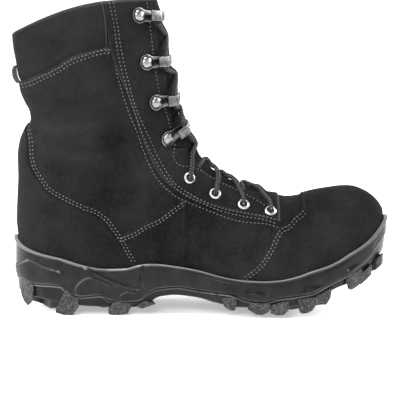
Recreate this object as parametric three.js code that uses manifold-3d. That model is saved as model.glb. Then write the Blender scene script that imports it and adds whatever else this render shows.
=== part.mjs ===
// A high laced boot for the right foot: a hollow leather upper with its shaft, sewn overlays,
// a padded cuff, tongue, insole, a cupped midsole and a lugged outsole, with hooks, eyelets and laces.
// Millimetres. +X runs from heel to toe, +Z is up, and the outer side of the foot is towards -Y.
import * as THREE from "three";
import { mergeVertices } from "three/addons/utils/BufferGeometryUtils.js";
import Module from "manifold-3d";

const wasm = await Module();
wasm.setup();

// Driving sizes
const soleLength = 312.5; // heel to toe over the sole
const ballWidth = 108; // over the sole at the ball of the foot
const bootHeight = 256; // floor to the front of the collar
const soleHeight = 40; // floor to the seat of the upper at the heel
const treadHeight = 10; // floor to the tread's base beside the lugs
const wallThickness = 2.2; // leather and lining of the upper
const overlayThickness = 1.2; // leather sewn on over the upper
const cuffThickness = 2.4; // padded leather round the collar
const tongueThickness = 3.2;
const insoleThickness = 4;
const lipThickness = 2; // midsole edge that stands up round the upper
const vampLap = 0.9; // how far the vamp's edge stands over the quarters
const laceDiameter = 3.8;
const tongueMargin = 12; // tongue beyond each edge of the throat
const throatTop = 38; // between the eyestays at the collar
const pullTab = { height: 14, width: 16, thickness: 2.4, lean: 1.6 };
const fit = 0.3; // clearance between neighbouring pieces
const facetTolerance = 0.15; // how far a facet may lie from the cut it stands for
const formRows = 26; // facets of the upper's form from the toe to the collar
const formColumns = 7; // and from its foot to its crown on each side

// What follows from them
const overlayOut = fit + overlayThickness;
const wallInset = lipThickness + fit + overlayOut + 1; // sole edge to the upper's base surface
const halfBall = ballWidth / 2;
const seatLength = soleLength - 2 * wallInset;
const upperRise = bootHeight - soleHeight;

// Plan of the sole. along is a share of its length, the rest are shares of half the ball width
const planTable = [
  { along: 0.0, sway: 0.0, outer: 0.0, inner: 0.0 },
  { along: 0.048, sway: 0.0, outer: 0.5, inner: 0.5 },
  { along: 0.112, sway: 0.0, outer: 0.694, inner: 0.694 },
  { along: 0.19, sway: 0.0, outer: 0.75, inner: 0.74 },
  { along: 0.28, sway: 0.0, outer: 0.735, inner: 0.7 },
  { along: 0.37, sway: 0.0, outer: 0.715, inner: 0.62 },
  { along: 0.45, sway: 0.0, outer: 0.76, inner: 0.6 },
  { along: 0.54, sway: 0.0, outer: 0.87, inner: 0.7 },
  { along: 0.64, sway: 0.0, outer: 0.97, inner: 0.9 },
  { along: 0.72, sway: 0.01, outer: 1.0, inner: 1.0 },
  { along: 0.79, sway: 0.025, outer: 0.975, inner: 0.985 },
  { along: 0.85, sway: 0.05, outer: 0.895, inner: 0.885 },
  { along: 0.912, sway: 0.09, outer: 0.74, inner: 0.715 },
  { along: 0.96, sway: 0.13, outer: 0.53, inner: 0.495 },
  { along: 1.0, sway: 0.17, outer: 0.0, inner: 0.0 },
];

// Side of the sole, a row for each station round it, as shares of the sole height:
// lip is the midsole's top edge and seam is where the outsole meets it
const sideTable = [
  { along: 0.0, lip: 1.52, seam: 0.72 },
  { along: 0.005, lip: 1.47, seam: 0.71 },
  { along: 0.02, lip: 1.38, seam: 0.68 },
  { along: 0.055, lip: 1.28, seam: 0.59 },
  { along: 0.1, lip: 1.21, seam: 0.6 },
  { along: 0.128, lip: 1.17, seam: 0.59 },
  { along: 0.15, lip: 1.12, seam: 0.42 },
  { along: 0.185, lip: 1.04, seam: 0.375 },
  { along: 0.235, lip: 0.965, seam: 0.4 },
  { along: 0.262, lip: 0.955, seam: 0.285 },
  { along: 0.3, lip: 0.965, seam: 0.25 },
  { along: 0.335, lip: 1.03, seam: 0.27 },
  { along: 0.36, lip: 1.055, seam: 0.43 },
  { along: 0.385, lip: 1.05, seam: 0.525 },
  { along: 0.44, lip: 1.005, seam: 0.57 },
  { along: 0.49, lip: 0.945, seam: 0.52 },
  { along: 0.545, lip: 0.845, seam: 0.48 },
  { along: 0.58, lip: 0.795, seam: 0.45 },
  { along: 0.615, lip: 0.77, seam: 0.355 },
  { along: 0.66, lip: 0.76, seam: 0.32 },
  { along: 0.7, lip: 0.78, seam: 0.395 },
  { along: 0.75, lip: 0.86, seam: 0.445 },
  { along: 0.79, lip: 0.965, seam: 0.5 },
  { along: 0.826, lip: 1.04, seam: 0.64 },
  { along: 0.856, lip: 1.13, seam: 0.75 },
  { along: 0.89, lip: 1.27, seam: 0.85 },
  { along: 0.917, lip: 1.37, seam: 1.0 },
  { along: 0.943, lip: 1.49, seam: 1.14 },
  { along: 0.968, lip: 1.65, seam: 1.36 },
  { along: 0.986, lip: 1.79, seam: 1.5 },
  { along: 0.996, lip: 1.88, seam: 1.56 },
  { along: 1.0, lip: 1.9, seam: 1.58 },
];

// Height that the upper stands on inside the midsole, as shares of the sole height
const seatTable = [
  { along: 0.0, up: 1.0 },
  { along: 0.1, up: 0.9 },
  { along: 0.2, up: 0.8 },
  { along: 0.3, up: 0.725 },
  { along: 0.4, up: 0.675 },
  { along: 0.5, up: 0.6 },
  { along: 0.6, up: 0.53 },
  { along: 0.68, up: 0.52 },
  { along: 0.76, up: 0.61 },
  { along: 0.84, up: 0.79 },
  { along: 0.91, up: 1.06 },
  { along: 0.96, up: 1.36 },
  { along: 1.0, up: 1.62 },
];

// Underside: base is the tread's ground between the lugs and lug is the lugs' own face,
// as shares of the tread height above the floor
const treadTable = [
  { along: 0.0, base: 1.4, lug: 0.75 },
  { along: 0.05, base: 1.25, lug: 0.45 },
  { along: 0.105, base: 1.0, lug: 0.0 },
  { along: 0.2, base: 0.7, lug: 0.0 },
  { along: 0.31, base: 0.58, lug: 0.0 },
  { along: 0.345, base: 0.7, lug: 0.0 },
  { along: 0.385, base: 1.42, lug: 0.5 },
  { along: 0.43, base: 1.6, lug: 0.9 },
  { along: 0.49, base: 1.45, lug: 0.8 },
  { along: 0.54, base: 1.08, lug: 0.5 },
  { along: 0.6, base: 0.8, lug: 0.0 },
  { along: 0.7, base: 0.82, lug: 0.0 },
  { along: 0.76, base: 1.0, lug: 0.3 },
  { along: 0.8, base: 1.35, lug: 0.8 },
  { along: 0.83, base: 1.85, lug: 1.2 },
  { along: 0.87, base: 2.35, lug: 1.75 },
  { along: 0.9, base: 2.6, lug: 2.05 },
  { along: 0.93, base: 3.2, lug: 2.7 },
  { along: 0.96, base: 3.9, lug: 3.35 },
  { along: 1.0, base: 4.7, lug: 4.1 },
];

// Rows of a table with named columns
function tableOf(columns, ...rows) {
  return rows.map((row) => Object.fromEntries(columns.map((column, i) => [column, row[i]])));
}

// Sections of the upper from the toe to the collar. Each is a cut that looks like a line from
// the side: seat is where it leaves the seat line as a share of the upper's length, heel how far up
// the back it starts, lean how far forward its top end lies as a share of the sole length, and rise
// how high. outer and inner are its widths against the seat's, start and fullness shape its crown,
// and bow lifts its middle as a share of the boot's height.
const sectionTable = tableOf(
  ["seat", "heel", "lean", "rise", "outer", "inner", "start", "fullness", "bow"],
  [1.0, 0, 0, 0, 1, 1, 0.2, 2.2, 0],
  [0.9983, 0, 0, 0.069, 1, 1, 0.2, 2.2, 0],
  [0.9917, 0, 0, 0.1, 1, 1, 0.22, 2.3, 0],
  [0.976, 0, 0, 0.146, 1, 1, 0.24, 2.4, 0],
  [0.95, 0, 0, 0.203, 1, 1, 0.25, 2.4, 0],
  [0.912, 0, 0, 0.264, 1, 1, 0.24, 2.4, 0],
  [0.862, 0, 0, 0.3, 1, 1, 0.22, 2.3, 0],
  [0.806, 0, 0, 0.317, 1, 1, 0.2, 2.1, 0],
  [0.747, 0, 0, 0.321, 1, 1, 0.18, 1.9, 0],
  [0.69, 0, 0.0005, 0.343, 1, 1, 0.17, 1.75, 0],
  [0.595, 0, 0.0416, 0.361, 0.98, 1.02, 0.17, 1.65, 0],
  [0.499, 0, 0.091, 0.369, 1.03, 1.2, 0.19, 1.6, 0],
  [0.4, 0, 0.149, 0.382, 1.09, 1.28, 0.22, 1.65, 0],
  [0.304, 0, 0.208, 0.41, 1.06, 1.14, 0.26, 1.75, 0],
  [0.212, 0, 0.271, 0.444, 1.06, 1.08, 0.3, 1.85, 0],
  [0.126, 0, 0.336, 0.473, 1.07, 1.09, 0.33, 1.95, 0],
  [0.05, 0, 0.396, 0.496, 1.09, 1.12, 0.36, 2.05, 0],
  [0, 0, 0.43, 0.521, 1.1, 1.13, 0.38, 2.1, 0],
  [0, 0.139, 0.4225, 0.559, 1.12, 1.15, 0.4, 2.15, 0],
  [0, 0.268, 0.4155, 0.6, 1.12, 1.15, 0.42, 2.2, 0],
  [0, 0.38, 0.41, 0.641, 1.12, 1.14, 0.44, 2.25, 0],
  [0, 0.477, 0.4085, 0.686, 1.13, 1.15, 0.45, 2.3, 0],
  [0, 0.542, 0.4045, 0.732, 1.15, 1.17, 0.46, 2.3, 0.002],
  [0, 0.602, 0.3915, 0.778, 1.19, 1.21, 0.47, 2.3, 0.006],
  [0, 0.69, 0.3835, 0.843, 1.23, 1.25, 0.48, 2.3, 0.014],
  [0, 0.782, 0.377, 0.921, 1.26, 1.28, 0.48, 2.3, 0.024],
  [0, 0.875, 0.365, 1.0, 1.28, 1.3, 0.48, 2.3, 0.032],
);

// Back of the heel and shaft: tuck is how far it lies forward of the seat, as a share of the length
const backTable = [
  { rise: 0.0, tuck: 0.0 },
  { rise: 0.09, tuck: -0.001 },
  { rise: 0.15, tuck: -0.0045 },
  { rise: 0.24, tuck: -0.002 },
  { rise: 0.33, tuck: 0.0015 },
  { rise: 0.4, tuck: 0.001 },
  { rise: 0.46, tuck: 0.007 },
  { rise: 0.505, tuck: 0.02 },
  { rise: 0.546, tuck: 0.032 },
  { rise: 0.6, tuck: 0.019 },
  { rise: 0.67, tuck: 0.0105 },
  { rise: 0.74, tuck: 0.007 },
  { rise: 0.875, tuck: -0.005 },
];

// Half gap of the throat up the front, as a share of its width at the collar
const throatTable = [
  { section: 9, half: 0.2 },
  { section: 10, half: 0.24 },
  { section: 12, half: 0.29 },
  { section: 15, half: 0.35 },
  { section: 16, half: 0.56 },
  { section: 17, half: 0.4 },
  { section: 20, half: 0.44 },
  { section: sectionTable.length - 1, half: 0.5 },
];
const throatSection = 9; // where the throat begins
const throatDepth = 0.11 * soleLength; // how far the throat's cutter reaches in and out of the crown
const throatClear = 0.058 * soleLength;
const collarSection = sectionTable.length - 1;

const clamp = (v, low, high) => Math.min(Math.max(v, low), high);
const mix = (a, b, t) => a + (b - a) * t;
const smooth = (low, high, v) => {
  const t = clamp((v - low) / (high - low), 0, 1);
  return t * t * (3 - 2 * t);
};

// Reads a column of a table as a smooth curve that never overshoots its rows
function read(table, key, column, at, keyOf = (v) => v) {
  const n = table.length;
  const k = table.map((row) => keyOf(row[key]));
  const v = table.map((row) => row[column]);
  const x = clamp(keyOf(at), k[0], k[n - 1]);
  let i = 0;
  while (i < n - 2 && x > k[i + 1]) i++;
  const slope = (a) => (v[a + 1] - v[a]) / (k[a + 1] - k[a]);
  const tangent = (a) => {
    if (a === 0) return slope(0);
    if (a === n - 1) return slope(n - 2);
    const before = slope(a - 1);
    const after = slope(a);
    return before * after <= 0 ? 0 : (2 * before * after) / (before + after);
  };
  const h = k[i + 1] - k[i];
  const t = (x - k[i]) / h;
  const a = (1 + 2 * t) * (1 - t) ** 2 * v[i] + t * (1 - t) ** 2 * h * tangent(i);
  return a + t * t * (3 - 2 * t) * v[i + 1] + t * t * (t - 1) * h * tangent(i + 1);
}

// Angle round an ellipse, which keeps the toe and heel round where a plain share would point them
const turn = (along) => Math.acos(clamp(1 - 2 * along, -1, 1));
const columnOf = (side) => (side < 0 ? "outer" : "inner");
const planHalf = (along, side) => read(planTable, "along", columnOf(side), along, turn) * halfBall;
const sway = (along) => read(planTable, "along", "sway", along) * halfBall;
const seatHeight = (along) => read(seatTable, "along", "up", along) * soleHeight;
const lipHeight = (along) => read(sideTable, "along", "lip", along) * soleHeight;
const seamHeight = (along) => read(sideTable, "along", "seam", along) * soleHeight;
const baseHeight = (along) => read(treadTable, "along", "base", along) * treadHeight;
const lugHeight = (along) => read(treadTable, "along", "lug", along) * treadHeight;

// How far a point lies nearer the middle when its outline moves in: less at the toe and heel
function insetAcross(along, inset) {
  const bend = Math.sin(turn(along));
  return (inset * 1.3 * bend) / (1 + 0.3 * bend);
}

// A point of the sole's plan, moved in from its edge
function planPoint(along, side, inset, z) {
  const half = planHalf(along, side) - insetAcross(along, inset);
  const x = inset + along * (soleLength - 2 * inset);
  return new THREE.Vector3(x, sway(along) + side * Math.max(half, 0), z);
}

// The upper's own function. A section is a line seen from the side, from its foot to its crown
const heelPeak = 0.19; // where the heel is widest, as a share of the length
const backX = (z) => wallInset + read(backTable, "rise", "tuck", (z - soleHeight) / upperRise) * soleLength;
const seatHalf = (along, side) => planHalf(along, side) - insetAcross(along, wallInset);

function section(at) {
  const col = (name) => read(numberedSections, "number", name, at);
  const along = clamp(col("seat"), 0, 1);
  const heel = col("heel");
  const seat = seatHeight(along);
  const foot = { z: seat + heel * upperRise };
  foot.x = heel > 0 ? backX(foot.z) : wallInset + along * seatLength;
  const crown = {
    x: wallInset + along * seatLength + col("lean") * soleLength,
    z: seat + col("rise") * upperRise,
  };
  return {
    along, heel, foot, crown,
    outer: col("outer"), inner: col("inner"), start: col("start"), fullness: col("fullness"),
    bow: col("bow") * bootHeight,
  };
}
const numberedSections = sectionTable.map((row, number) => ({ ...row, number }));

// Half width of a section at share q of the way from its foot to its crown
function halfWidth(cut, side, q) {
  const seat = seatHalf(Math.max(cut.along, heelPeak), side);
  const wide = seat * mix(1, side < 0 ? cut.outer : cut.inner, smooth(0.2, 0.55, q));
  const over = clamp((q - cut.start) / (1 - cut.start), 0, 1);
  const crown = Math.sqrt(Math.max(1 - over ** cut.fullness, 0));
  const x = mix(cut.foot.x, cut.crown.x, q);
  const z = mix(cut.foot.z, cut.crown.z, q);
  const back = clamp((x - backX(z)) / seatLength, 0, heelPeak);
  return wide * crown * (seatHalf(back, side) / seatHalf(heelPeak, side));
}

function formPoint(cut, side, q) {
  const x = mix(cut.foot.x, cut.crown.x, q);
  const z = mix(cut.foot.z, cut.crown.z, q) + cut.bow * Math.sin(Math.PI * q);
  return new THREE.Vector3(x, sway(cut.along) + side * halfWidth(cut, side, q), z);
}

// The section and share that pass through a point of the side view
function locate(x, z) {
  let low = 0;
  let high = collarSection;
  let found = { at: 0, q: 0, cut: section(0) };
  for (let step = 0; step < 30; step++) {
    const at = (low + high) / 2;
    const cut = section(at);
    const dx = cut.crown.x - cut.foot.x;
    const dz = cut.crown.z - cut.foot.z;
    const q = clamp(((x - cut.foot.x) * dx + (z - cut.foot.z) * dz) / (dx * dx + dz * dz), 0, 1);
    const lift = cut.bow * Math.sin(Math.PI * q);
    const above = dx * (z - lift - cut.foot.z) - dz * (x - cut.foot.x);
    if (above > 0) low = at;
    else high = at;
    found = { at, q, cut };
  }
  return found;
}

// Share of a section where its half width has shrunk to y, on the way to the crown
function shareAt(cut, side, y) {
  let low = cut.start;
  let high = 1;
  for (let step = 0; step < 30; step++) {
    const q = (low + high) / 2;
    if (halfWidth(cut, side, q) > y) low = q;
    else high = q;
  }
  return (low + high) / 2;
}

// Point and outward direction of the upper's surface
function surfaceFrame(at, side, q) {
  const step = 0.02;
  const spot = formPoint(section(at), side, q);
  const up = formPoint(section(Math.min(at + step, collarSection)), side, q)
    .sub(formPoint(section(at - step), side, q));
  const cut = section(at);
  const over = formPoint(cut, side, Math.min(q + step / 2, 1)).sub(formPoint(cut, side, q - step / 2));
  const normal = new THREE.Vector3().crossVectors(over, up).multiplyScalar(-side).normalize();
  return { spot, normal };
}

// Closed solid of the upper's form, moved out by offset. down carries its foot below the seat
// and up carries its top past the collar.
function formSolid(offset, { down = 0, up = 0 } = {}) {
  const cuts = [];
  for (let i = 0; i <= formRows; i++) cuts.push(section((i / formRows) * collarSection));
  const width = 2 * formColumns + 1;
  const points = [];
  for (const cut of cuts) {
    for (let j = 0; j < width; j++) {
      const t = (j - formColumns) / formColumns;
      points.push(formPoint(cut, t < 0 ? -1 : 1, shareSpread(cut, 1 - Math.abs(t))));
    }
  }
  const grid = gridFaces(cuts.length, width);
  const normals = pointNormals(points, grid);
  const moved = points.map((p, i) => p.clone().addScaledVector(normals[i], offset));
  // The foot goes straight down and the collar straight up
  const ring = width + 2;
  const all = [];
  cuts.forEach((cut, i) => {
    const row = moved.slice(i * width, (i + 1) * width);
    const low = cut.heel > 0 ? 0 : down;
    const first = row[0].clone().setZ(cut.heel > 0 ? row[0].z : cut.foot.z - low);
    const last = row[width - 1].clone().setZ(cut.heel > 0 ? row[width - 1].z : cut.foot.z - low);
    all.push(first, ...row, last);
  });
  if (up > 0) {
    const top = all.slice(-ring).map((p) => p.clone().add(new THREE.Vector3(0, 0, up)));
    all.push(...top);
  }
  const count = all.length / ring;
  const faces = gridFaces(count, ring);
  for (let i = 0; i < count - 1; i++) {
    const a = i * ring;
    const b = a + ring;
    faces.push([a + ring - 1, a, b], [a + ring - 1, b, b + ring - 1]);
  }
  const lid = (count - 1) * ring;
  for (let j = 1; j < (ring - 1) / 2; j++) {
    const k = ring - 1 - j;
    faces.push([lid + j - 1, lid + j, lid + k], [lid + j - 1, lid + k, lid + k + 1]);
  }
  const middle = lid + (ring - 1) / 2;
  faces.push([middle - 1, middle, middle + 1]);
  return solidOf(all, faces);
}

// Facets crowd at the crown, and in the shaft at its back too
function shareSpread(cut, t) {
  const crowned = Math.sin((t * Math.PI) / 2);
  const even = (1 - Math.cos(t * Math.PI)) / 2;
  return mix(even, crowned, smooth(0.05, 0.4, cut.along));
}

function gridFaces(rows, width) {
  const faces = [];
  for (let i = 0; i < rows - 1; i++) {
    for (let j = 0; j < width - 1; j++) {
      const a = i * width + j;
      faces.push([a, a + 1, a + width + 1], [a, a + width + 1, a + width]);
    }
  }
  return faces;
}

const keyOf = (p) => `${Math.round(p.x * 1000)},${Math.round(p.y * 1000)},${Math.round(p.z * 1000)}`;

// Points that lie on each other share one direction
function pointNormals(points, faces) {
  const sums = new Map();
  const keys = points.map(keyOf);
  keys.forEach((key) => sums.set(key, new THREE.Vector3()));
  const ab = new THREE.Vector3();
  const ac = new THREE.Vector3();
  for (const [a, b, c] of faces) {
    ab.subVectors(points[b], points[a]);
    ac.subVectors(points[c], points[a]);
    const normal = new THREE.Vector3().crossVectors(ab, ac);
    for (const i of new Set([keys[a], keys[b], keys[c]])) sums.get(i).add(normal);
  }
  return keys.map((key) => sums.get(key).clone().normalize());
}

// A closed solid from points and faces, with points that lie on each other made one
function solidOf(points, faces) {
  const index = new Map();
  const vertices = [];
  const number = points.map((p) => {
    const key = keyOf(p);
    if (!index.has(key)) {
      index.set(key, vertices.length / 3);
      vertices.push(p.x, p.y, p.z);
    }
    return index.get(key);
  });
  const corners = [];
  for (const [a, b, c] of faces) {
    const tri = [number[a], number[b], number[c]];
    if (new Set(tri).size === 3) corners.push(...tri);
  }
  const mesh = new wasm.Mesh({
    numProp: 3,
    vertProperties: new Float32Array(vertices),
    triVerts: new Uint32Array(corners),
  });
  const solid = new wasm.Manifold(mesh);
  if (solid.volume() >= 0) return solid;
  for (let i = 0; i < corners.length; i += 3) {
    [corners[i], corners[i + 1]] = [corners[i + 1], corners[i]];
  }
  return new wasm.Manifold(new wasm.Mesh({
    numProp: 3,
    vertProperties: new Float32Array(vertices),
    triVerts: new Uint32Array(corners),
  }));
}

// A three.js geometry as a solid
function solidFrom(geometry) {
  const bare = geometry.clone();
  bare.deleteAttribute("normal");
  bare.deleteAttribute("uv");
  const merged = mergeVertices(bare, 1e-4);
  const at = merged.getAttribute("position");
  const points = [];
  for (let i = 0; i < at.count; i++) points.push(new THREE.Vector3().fromBufferAttribute(at, i));
  const faces = [];
  const order = merged.getIndex().array;
  for (let i = 0; i < order.length; i += 3) faces.push([order[i], order[i + 1], order[i + 2]]);
  return solidOf(points, faces);
}

function geometryOf(solid) {
  const bodies = solid.simplify(facetTolerance).decompose();
  const mesh = bodies.reduce((a, b) => (a.volume() > b.volume() ? a : b)).getMesh();
  const geometry = new THREE.BufferGeometry();
  const positions = new Float32Array(mesh.numVert * 3);
  for (let i = 0; i < mesh.numVert; i++) {
    const from = i * mesh.numProp;
    positions.set(mesh.vertProperties.subarray(from, from + 3), 3 * i);
  }
  geometry.setAttribute("position", new THREE.BufferAttribute(positions, 3));
  geometry.setIndex(Array.from(mesh.triVerts));
  geometry.computeVertexNormals();
  return geometry;
}

// A slab with a side-view outline, from one width to another
function slab(outline, fromY, toY) {
  const shape = new THREE.Shape(outline.map((p) => new THREE.Vector2(p.x, p.z)));
  const geometry = new THREE.ExtrudeGeometry(shape, { depth: toY - fromY, bevelEnabled: false });
  geometry.rotateX(Math.PI / 2);
  geometry.translate(0, toY, 0);
  return solidFrom(geometry);
}

// A smooth line through the rows of a table of shares, as points of the side view
function sideLine(table, steps = 12) {
  const through = table.map((row) => new THREE.Vector3(row.along * soleLength, 0, row.up * bootHeight));
  const curve = new THREE.CatmullRomCurve3(through, false, "centripetal");
  return curve.getPoints(steps).map((p) => ({ x: p.x, z: p.z }));
}

// Lines of the sewn panels in the side view, as shares of the sole length and the boot height
const cuffLine = [
  { along: -0.02, up: 0.732 },
  { along: 0.07, up: 0.741 },
  { along: 0.12, up: 0.766 },
  { along: 0.16, up: 0.81 },
  { along: 0.2, up: 0.838 },
  { along: 0.235, up: 0.845 },
  { along: 0.3, up: 0.838 },
];
const eyestayBack = [
  { along: 0.246, up: 1.02 },
  { along: 0.255, up: 0.9 },
  { along: 0.275, up: 0.8 },
  { along: 0.317, up: 0.68 },
  { along: 0.345, up: 0.565 },
  { along: 0.385, up: 0.455 },
  { along: 0.44, up: 0.39 },
  { along: 0.51, up: 0.352 },
  { along: 0.6, up: 0.322 },
  { along: 0.705, up: 0.298 },
];
const eyestayFront = [
  { along: 0.705, up: 0.298 },
  { along: 0.715, up: 0.33 },
  { along: 0.71, up: 0.37 },
];
const counterLine = [
  { along: 0.055, up: 0.505 },
  { along: 0.06, up: 0.455 },
  { along: 0.092, up: 0.4 },
  { along: 0.15, up: 0.355 },
  { along: 0.235, up: 0.302 },
  { along: 0.275, up: 0.24 },
  { along: 0.32, up: 0.13 },
];
const vampLine = [
  { along: 0.715, up: 0.3 },
  { along: 0.685, up: 0.24 },
  { along: 0.65, up: 0.195 },
  { along: 0.595, up: 0.1 },
];

const wholeWidth = { fromY: -halfBall * 1.4, toY: halfBall * 1.4 };
const above = bootHeight * 1.15; // clear of the collar
const behind = -soleLength * 0.1; // clear of the heel

// Throat
const throatHalf = (at) => {
  const end = clamp((at - throatSection) / 0.4, 0, 1);
  return read(throatTable, "section", "half", at) * throatTop * Math.sqrt(1 - (1 - end) ** 2);
};

// Corners of the throat's cutter at a station: how far out of the crown, and on which side
const throatCorners = [[-throatDepth, -1], [throatClear, -1], [throatClear, 1], [-throatDepth, 1]];

function throatCutter(margin) {
  const stations = [0.02, 0.1, 0.25, 0.45, 0.8].map((d) => throatSection + d);
  for (let at = throatSection + 1.4; at < collarSection - 0.5; at += 1) stations.push(at);
  stations.push(collarSection);
  const points = [];
  for (const at of stations) {
    const cut = section(at);
    const line = new THREE.Vector3(cut.crown.x - cut.foot.x, 0, cut.crown.z - cut.foot.z).normalize();
    const crown = new THREE.Vector3(cut.crown.x, sway(cut.along), cut.crown.z);
    const half = throatHalf(at) + margin;
    for (const [reach, side] of throatCorners) {
      points.push(crown.clone().addScaledVector(line, reach).setY(crown.y + side * half));
    }
  }
  // The cutter runs on past the collar
  const rise = new THREE.Vector3(-0.05 * soleLength, 0, 0.16 * bootHeight);
  points.push(...points.slice(-4).map((p) => p.clone().add(rise)));
  const rings = points.length / 4;
  const faces = [[0, 1, 2], [0, 2, 3]];
  for (let i = 0; i < rings - 1; i++) {
    for (let j = 0; j < 4; j++) {
      const a = 4 * i + j;
      const b = 4 * i + ((j + 1) % 4);
      faces.push([a, a + 4, b + 4], [a, b + 4, b]);
    }
  }
  const last = 4 * (rings - 1);
  faces.push([last, last + 2, last + 1], [last, last + 3, last + 2]);
  return solidOf(points, faces);
}

// Sole
const soleStations = [
  0, 0.004, 0.016, 0.036, 0.064, 0.1, 0.13, 0.16, 0.19, 0.235, 0.262, 0.3, 0.335, 0.36, 0.39, 0.43, 0.48,
  0.53, 0.58, 0.62, 0.66, 0.7, 0.74, 0.78, 0.815, 0.85, 0.88, 0.907, 0.932, 0.955, 0.974, 0.989, 0.997, 1,
];

// A solid through the sole's stations, each with the same levels from its lower to its upper edge.
// profile gives each level's height and how far it stands in from the outline.
function soleSolid(profile, stations = soleStations) {
  const points = [];
  for (const along of stations) {
    const levels = profile(along);
    for (const level of levels) points.push(planPoint(along, -1, level.inset, level.z));
    for (const level of [...levels].reverse()) points.push(planPoint(along, 1, level.inset, level.z));
  }
  const ring = points.length / stations.length;
  const faces = gridFaces(stations.length, ring);
  for (let i = 0; i < stations.length - 1; i++) {
    const a = i * ring;
    const b = a + ring;
    faces.push([a + ring - 1, a, b], [a + ring - 1, b, b + ring - 1]);
  }
  return solidOf(points, faces);
}

const edgeRound = 1.5; // how far the sole's corners stand in from its outline
const seamInset = 0.8; // the same for its two layers where they meet
const midsoleBlank = soleSolid((along) => {
  const low = seamHeight(along) + fit;
  const high = lipHeight(along);
  return [
    { z: low, inset: seamInset },
    { z: mix(low, high, 0.8), inset: edgeRound * 0.6 },
    { z: high, inset: 0 },
  ];
});
const outsoleBody = soleSolid((along) => {
  const low = baseHeight(along);
  const high = seamHeight(along);
  return [
    { z: low, inset: 3 * edgeRound },
    { z: mix(low, high, 0.5), inset: edgeRound },
    { z: high, inset: seamInset },
  ];
});

// Lugs, each a wedge that runs in from the edge: from and to are stations along the sole,
// reach is how far it runs in and skew how far its inner end lies forward, as shares
const sideLugs = [
  { from: 0.02, to: 0.06, reach: 0.5, skew: 0.03, taper: 0.5 },
  { from: 0.118, to: 0.176, reach: 0.52, skew: 0.015, taper: 0.55 },
  { from: 0.254, to: 0.316, reach: 0.5, skew: -0.02, taper: 0.5 },
  { from: 0.545, to: 0.588, reach: 0.34, skew: 0.025, taper: 0.45 },
  { from: 0.612, to: 0.666, reach: 0.5, skew: 0.03, taper: 0.4 },
  { from: 0.682, to: 0.728, reach: 0.36, skew: 0.02, taper: 0.5 },
  { from: 0.748, to: 0.795, reach: 0.46, skew: 0.02, taper: 0.45 },
  { from: 0.826, to: 0.858, reach: 0.38, skew: 0.015, taper: 0.5 },
  { from: 0.876, to: 0.912, reach: 0.46, skew: 0.005, taper: 0.5 },
  { from: 0.938, to: 0.965, reach: 0.55, skew: -0.025, taper: 0.6 },
];
// Lugs of the middle, each a three-armed claw: across is where it lies between the middle and the
// edge, size its arm as a share of half the ball width, turned by so many degrees
const claws = [
  { along: 0.085, across: 0, size: 0.3, turned: 180 },
  { along: 0.225, across: 0.1, size: 0.3, turned: 60 },
  { along: 0.56, across: 0.12, size: 0.27, turned: 0 },
  { along: 0.655, across: -0.06, size: 0.36, turned: 170 },
  { along: 0.72, across: 0.28, size: 0.3, turned: 20 },
  { along: 0.765, across: -0.24, size: 0.32, turned: 130 },
  { along: 0.83, across: 0.18, size: 0.34, turned: 15 },
  { along: 0.9, across: -0.14, size: 0.28, turned: 160 },
];
const lugRoot = 0.5; // how far up into the outsole a lug runs, as a share of its height there

// A prism whose lower face follows the lugs' own face and whose upper face lies in the sole
function lugSolid(corners) {
  const n = corners.length;
  const low = corners.map((c) => new THREE.Vector3(c.x, c.y, lugHeight(c.x / soleLength)));
  const rootHeight = (along) => mix(baseHeight(along), seamHeight(along), lugRoot);
  const high = corners.map((c) => new THREE.Vector3(c.x, c.y, rootHeight(c.x / soleLength)));
  const faces = [];
  for (let i = 1; i < n - 1; i++) faces.push([0, i + 1, i], [n, n + i, n + i + 1]);
  for (let i = 0; i < n; i++) {
    const j = (i + 1) % n;
    faces.push([i, j, n + j], [i, n + j, n + i]);
  }
  return solidOf([...low, ...high], faces);
}

function sideLug(lug, side) {
  const inset = edgeRound;
  const outerA = planPoint(lug.from, side, inset, 0);
  const outerM = planPoint((lug.from + lug.to) / 2, side, 0, 0);
  const outerB = planPoint(lug.to, side, inset, 0);
  const middle = (lug.from + lug.to) / 2 + lug.skew;
  const half = ((lug.to - lug.from) / 2) * lug.taper;
  const inner = (along) => {
    const edge = planPoint(along, side, inset, 0);
    return edge.setY(mix(edge.y, sway(along), lug.reach));
  };
  const corners = [outerA, outerM, outerB, inner(middle + half), inner(middle - half)];
  return lugSolid(side < 0 ? corners : corners.reverse());
}

function clawLug(claw) {
  const side = claw.across < 0 ? -1 : 1;
  const centre = planPoint(claw.along, side, 0, 0);
  centre.setY(mix(sway(claw.along), centre.y, Math.abs(claw.across)));
  const corners = [];
  for (let i = 0; i < 3; i++) {
    const arm = THREE.MathUtils.degToRad(claw.turned + 120 * i);
    const tip = claw.size * halfBall;
    for (const [spread, far] of [[-0.28, 1], [0.28, 1], [Math.PI / 3, 0.42]]) {
      const angle = arm + spread;
      corners.push(new THREE.Vector3(
        centre.x + Math.cos(angle) * tip * far,
        centre.y + Math.sin(angle) * tip * far,
        0,
      ));
    }
  }
  return lugSolid(corners);
}

// Upper and what is sewn on it
const quarterCut = throatCutter(0);
const past = { down: 6, up: 6 }; // carries a cutting form through the seat and the collar
const skin = (from, to) => formSolid(to).subtract(formSolid(from, past));
const shellInner = formSolid(-wallThickness, past);
const vampPanel = [
  ...sideLine(vampLine, 8),
  { x: soleLength * 1.1, z: 0 },
  { x: soleLength * 1.1, z: bootHeight * 0.6 },
  { x: vampLine[0].along * soleLength, z: bootHeight * 0.6 },
];
// The vamp laps over the quarters as a step in the wall
const vampStep = formSolid(vampLap).intersect(slab(vampPanel, wholeWidth.fromY, wholeWidth.toY));
const shell = formSolid(0).add(vampStep).subtract(shellInner).subtract(quarterCut);

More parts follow.
